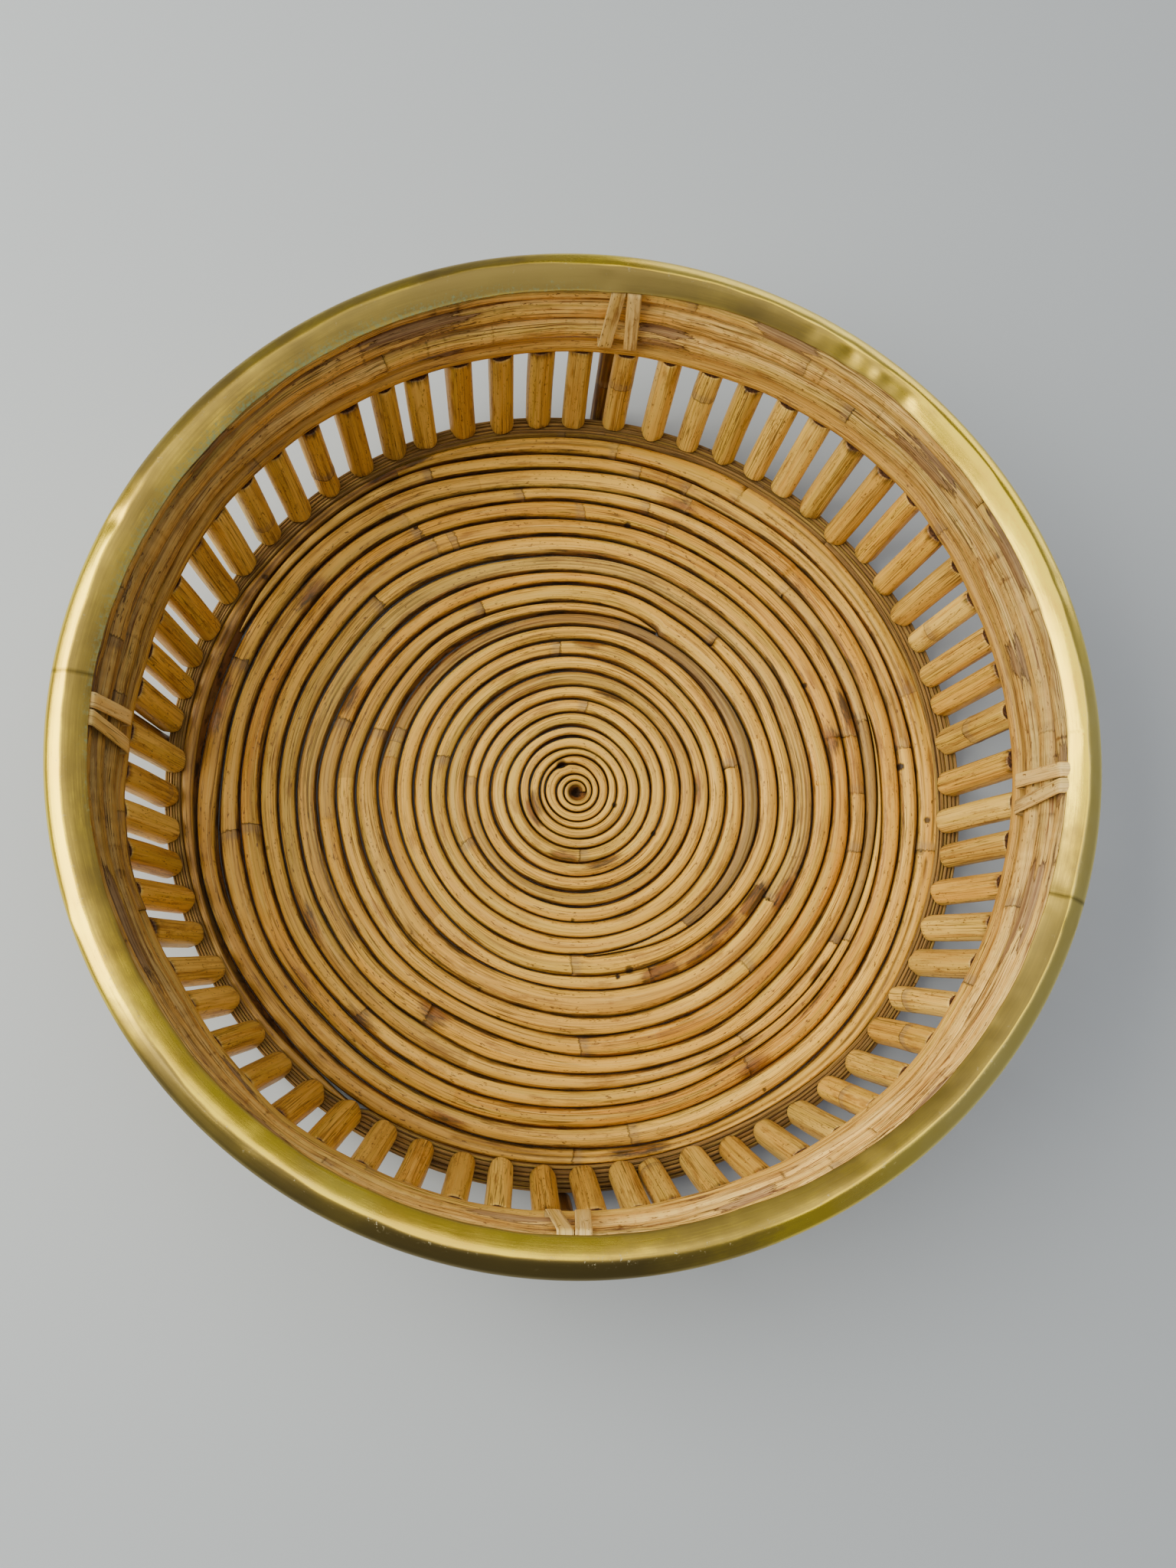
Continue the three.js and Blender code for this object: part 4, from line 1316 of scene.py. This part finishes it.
class OuterPosts(bpy.types.Operator):
    """Stand a cane outside the hoop at three of the ties, its dark colour painted shade under the
    rim
    """

    bl_idname = "basket.outer_posts"
    bl_label = "Outer posts"

    def execute(self, context):
        for name, angle in POSTS:
            low, high = box_mm(f"outer_post_{name}")
            self.stand(name, angle, low.z, high.z)
        return {"FINISHED"}

    def stand(self, name, angle, foot_z, head_z):
        length = head_z - foot_z - 0.1
        stations = [0.0, 0.3] + even_steps(length, 2.5)[1:-1] + [length - 0.3, length]
        seed = 200.0 + angle
        foot = round_ring(HOOP_OUTER, angle) + POST_OFFSET
        out, side = on_ring(1.0, angle, 0.0), on_ring(1.0, angle + 90.0, 0.0)

        def place(along, turn, _):
            end = min(along, length - along)
            size = POST_RADIUS * (1.0 + 0.02 * wander(along, 12.0, seed))
            size -= 0.25 * max(0.0, 1.0 - end / 0.3)
            lean = foot + (POST_HEAD - foot + rim_pull(angle)) * along / length
            where = on_ring(lean, angle, foot_z + 0.05 + along)
            return where + out * size * math.cos(turn) + side * size * math.sin(turn)

        cane = Cane(stations, 20, seed=seed, knots=((26.0, 0.8),), girth=3.2)
        body = cane.roll(place).close_ends(0.5).finished()
        add_piece(f"post_cane_{name}", body, finish_of("post_cane"),
                  [f"outer_post_{name}"])


# Brass cap


class BrassRim(bpy.types.Operator):
    """Fold a brass channel to a low ridge over the rim, with dents and two butt seams"""

    bl_idname = "basket.brass_rim"
    bl_label = "Brass rim"

    # Radius and height round the sheet, from its inner lip over the ridge and back inside
    PROFILE = (
        (166.5, 96.05), (166.6, 96.25), (167.6, 96.9), (168.9, 97.65), (170.2, 98.4),
        (171.3, 98.98), (172.2, 99.4), (173.0, 99.68), (173.8, 99.78), (174.7, 99.62),
        (175.7, 99.22), (176.7, 98.78), (177.7, 98.3), (178.7, 97.7), (179.5, 96.9), (179.9, 95.9),
        (179.95, 93.5), (179.95, 89.5), (179.9, 86.0), (179.7, 85.6), (179.35, 85.8),
        (179.25, 89.5), (179.25, 95.6), (178.6, 96.7), (173.2, 98.95), (167.1, 95.6),
    )

    def execute(self, context):
        body = bmesh.new()
        sheet, worn = vector_layers(body, "sheet", "wear")
        verts = [body.verts.new((radius, 0.0, height)) for radius, height in self.PROFILE]
        sides = list(zip(verts, verts[1:] + verts[:1]))
        edges = [body.edges.new(side) for side in sides]
        travelled = 0.0
        for vert, after in sides:
            vert[sheet] = (0.0, travelled, 0.0)
            travelled += (after.co - vert.co).length
        bmesh.ops.spin(body, geom=verts + edges, cent=(0.0, 0.0, 0.0), axis=(0.0, 0.0, 1.0),
                       angle=TAU, steps=900, use_merge=True)
        bmesh.ops.recalc_face_normals(body, faces=body.faces)
        for edge in body.edges:
            first, second = (math.hypot(vert.co.x, vert.co.y) for vert in edge.verts)
            if max(first, second) < LIP_RADIUS and abs(first - second) < 0.01:
                edge.smooth = False
        for vert in body.verts:
            self.wear_in(vert, sheet, worn)
        add_piece("brass_cap", body, brass_finish(), ["brass_rim"], smooth=True)
        return {"FINISHED"}

    def wear_in(self, vert, sheet, worn):
        """Push a point by the dents and waves of the sheet, and mark its wear and its tarnishing,
        which carries painted reflections and the lip's painted shade.
        """
        radius = math.hypot(vert.co.x, vert.co.y)
        angle = math.degrees(math.atan2(vert.co.y, vert.co.x)) % 360.0
        along = math.radians(angle) * 180.0
        flat = Vector((vert.co.x, vert.co.y, 0.0))
        inner = unit((CREST_RADIUS - radius) / CAP_WIDTH)
        crest = hump(radius - CREST_RADIUS, 1.8)
        wave = noise.noise(flat / 26.0)
        fine = noise.noise(flat / 9.0 + Vector((3.0, 7.0, 1.0)))
        dent = max(0.0, noise.noise(flat / 38.0 + Vector((11.0, 5.0, 2.0))) - 0.32)
        outward = vert.co.xy.normalized()
        shift = inner * (round_ring(CAP_LIP, angle) + 0.3 * wave + 0.2 * fine)
        shift += crest * (0.7 * wave + 0.3 * fine) + rim_pull(angle)
        vert.co.x += outward.x * shift
        vert.co.y += outward.y * shift
        vert.co.z -= dent * (0.8 * crest + 0.3) + inner * 0.15 * abs(fine)
        if radius < 178.0:
            for dent_angle, dent_radius, size, depth in DENTS:
                off = arc_between(angle, dent_angle, radius)
                away = (off * off + (radius - dent_radius) ** 2) / (size * size)
                vert.co.z -= depth * math.exp(-away) * min(1.0, abs(radius - 179.0))
            vert.co.z = min(vert.co.z, CAP_TOP)
        seam = 1.0 if any(arc_between(angle, place, 175.0) < 0.8 for place in SEAMS) else 0.0
        # Tarnishing by side, with painted reflections: dark where dim surroundings are mirrored, a
        # pale gleam below 0
        tarnish_and_reflection = round_ring(TARNISH_AND_REFLECTION_INSIDE if radius < CREST_RADIUS else TARNISH_AND_REFLECTION_OUTSIDE, angle)
        # The lip is painted dark all round: a painted shade line along the inner edge
        if radius < LIP_RADIUS:
            tarnish_and_reflection = LIP_PAINTED_SHADE
        chalk = max(0.0, crest * math.cos(math.radians(angle - 270.0))) * 0.8 + 0.3 * crest
        green = max(0.0, math.cos(math.radians(angle - 140.0))) * inner * 0.5
        vert[sheet] = (along, vert[sheet][1], tarnish_and_reflection)
        vert[worn] = (seam, min(1.0, chalk), green)


# Floor, light and camera


# Name, place and size in metres, power in watts, and colour
LAMPS = (
    ("window", (-0.98, 0.09, 0.85), 1.3, 1.0, 27.0, (1.0, 0.94, 0.72)),
    ("top", (0.1, 0.35, 1.7), 1.6, 1.6, 13.0, (1.0, 0.95, 0.78)),
    ("low", (0.85, 1.15, 0.22), 1.6, 0.25, 3.2, (1.0, 0.97, 0.85)),
)


class Stage(bpy.types.Operator):
    """Set up the floor, the soft light and the camera"""

    bl_idname = "basket.stage"
    bl_label = "Stage"

    def execute(self, context):
        floor = bmesh.new()
        bmesh.ops.create_circle(floor, cap_ends=True, segments=64, radius=4.0)
        bmesh.ops.translate(floor, vec=(0.0, 0.0, -0.0002), verts=floor.verts)
        mesh = bpy.data.meshes.new("floor")
        floor.to_mesh(mesh)
        floor.free()
        mesh.materials.append(floor_finish())
        plane = new_object("floor", mesh)
        for lamp in LAMPS:
            self.add_light(*lamp)
        world = bpy.data.worlds.new("studio")
        context.scene.world = world
        world.use_nodes = True
        background = world.node_tree.nodes["Background"].inputs
        background["Color"].default_value = (0.85, 0.88, 0.92, 1.0)
        background["Strength"].default_value = 0.26
        self.add_camera(context)
        return {"FINISHED"}

    def add_light(self, name, place, width, height, power, colour):
        lamp = bpy.data.lights.new(name, "AREA")
        lamp.shape = "RECTANGLE"
        lamp.size = width
        lamp.size_y = height
        lamp.energy = power
        lamp.color = colour
        light = new_object(name, lamp)
        light.location = place
        light.rotation_euler = (-Vector(place)).to_track_quat("-Z", "Y").to_euler()

    def add_camera(self, context):
        data = bpy.data.cameras.new("camera")
        data.lens = 27.05
        data.sensor_width = 36.0
        camera = new_object("camera", data)
        camera.location = (-0.0352, -0.1040, 0.4833)
        camera.rotation_euler = (math.radians(11.89), math.radians(-4.95), 0.0)
        context.scene.camera = camera


class BASKET_PT_panel(bpy.types.Panel):
    """Lists the basket's sizes, colours and pieces"""

    bl_label = "Basket"
    bl_space_type = "VIEW_3D"
    bl_region_type = "UI"
    bl_category = "Basket"

    def draw(self, context):
        layout = self.layout
        for group in (context.scene.basket_sizes, context.scene.basket_colours):
            for name in group.__annotations__:
                layout.prop(group, name)
        for operator in OPERATORS:
            layout.operator(operator.bl_idname)


OPERATORS = (FloorCoil, BaseHoop, Spindles, OuterPosts, InnerPole, RimCanes, CaneTies, BrassRim,
             Stage)
CLASSES = (BasketSizes, BasketColours, *OPERATORS, BASKET_PT_panel)


def register():
    for item in CLASSES:
        bpy.utils.register_class(item)
    bpy.types.Scene.basket_sizes = bpy.props.PointerProperty(type=BasketSizes)
    bpy.types.Scene.basket_colours = bpy.props.PointerProperty(type=BasketColours)


def unregister():
    del bpy.types.Scene.basket_colours
    del bpy.types.Scene.basket_sizes
    for item in reversed(CLASSES):
        bpy.utils.unregister_class(item)


def main():
    register()
    for operator in OPERATORS:
        name = operator.bl_idname.split(".")[1]
        getattr(bpy.ops.basket, name)()


if __name__ == "__main__":
    main()
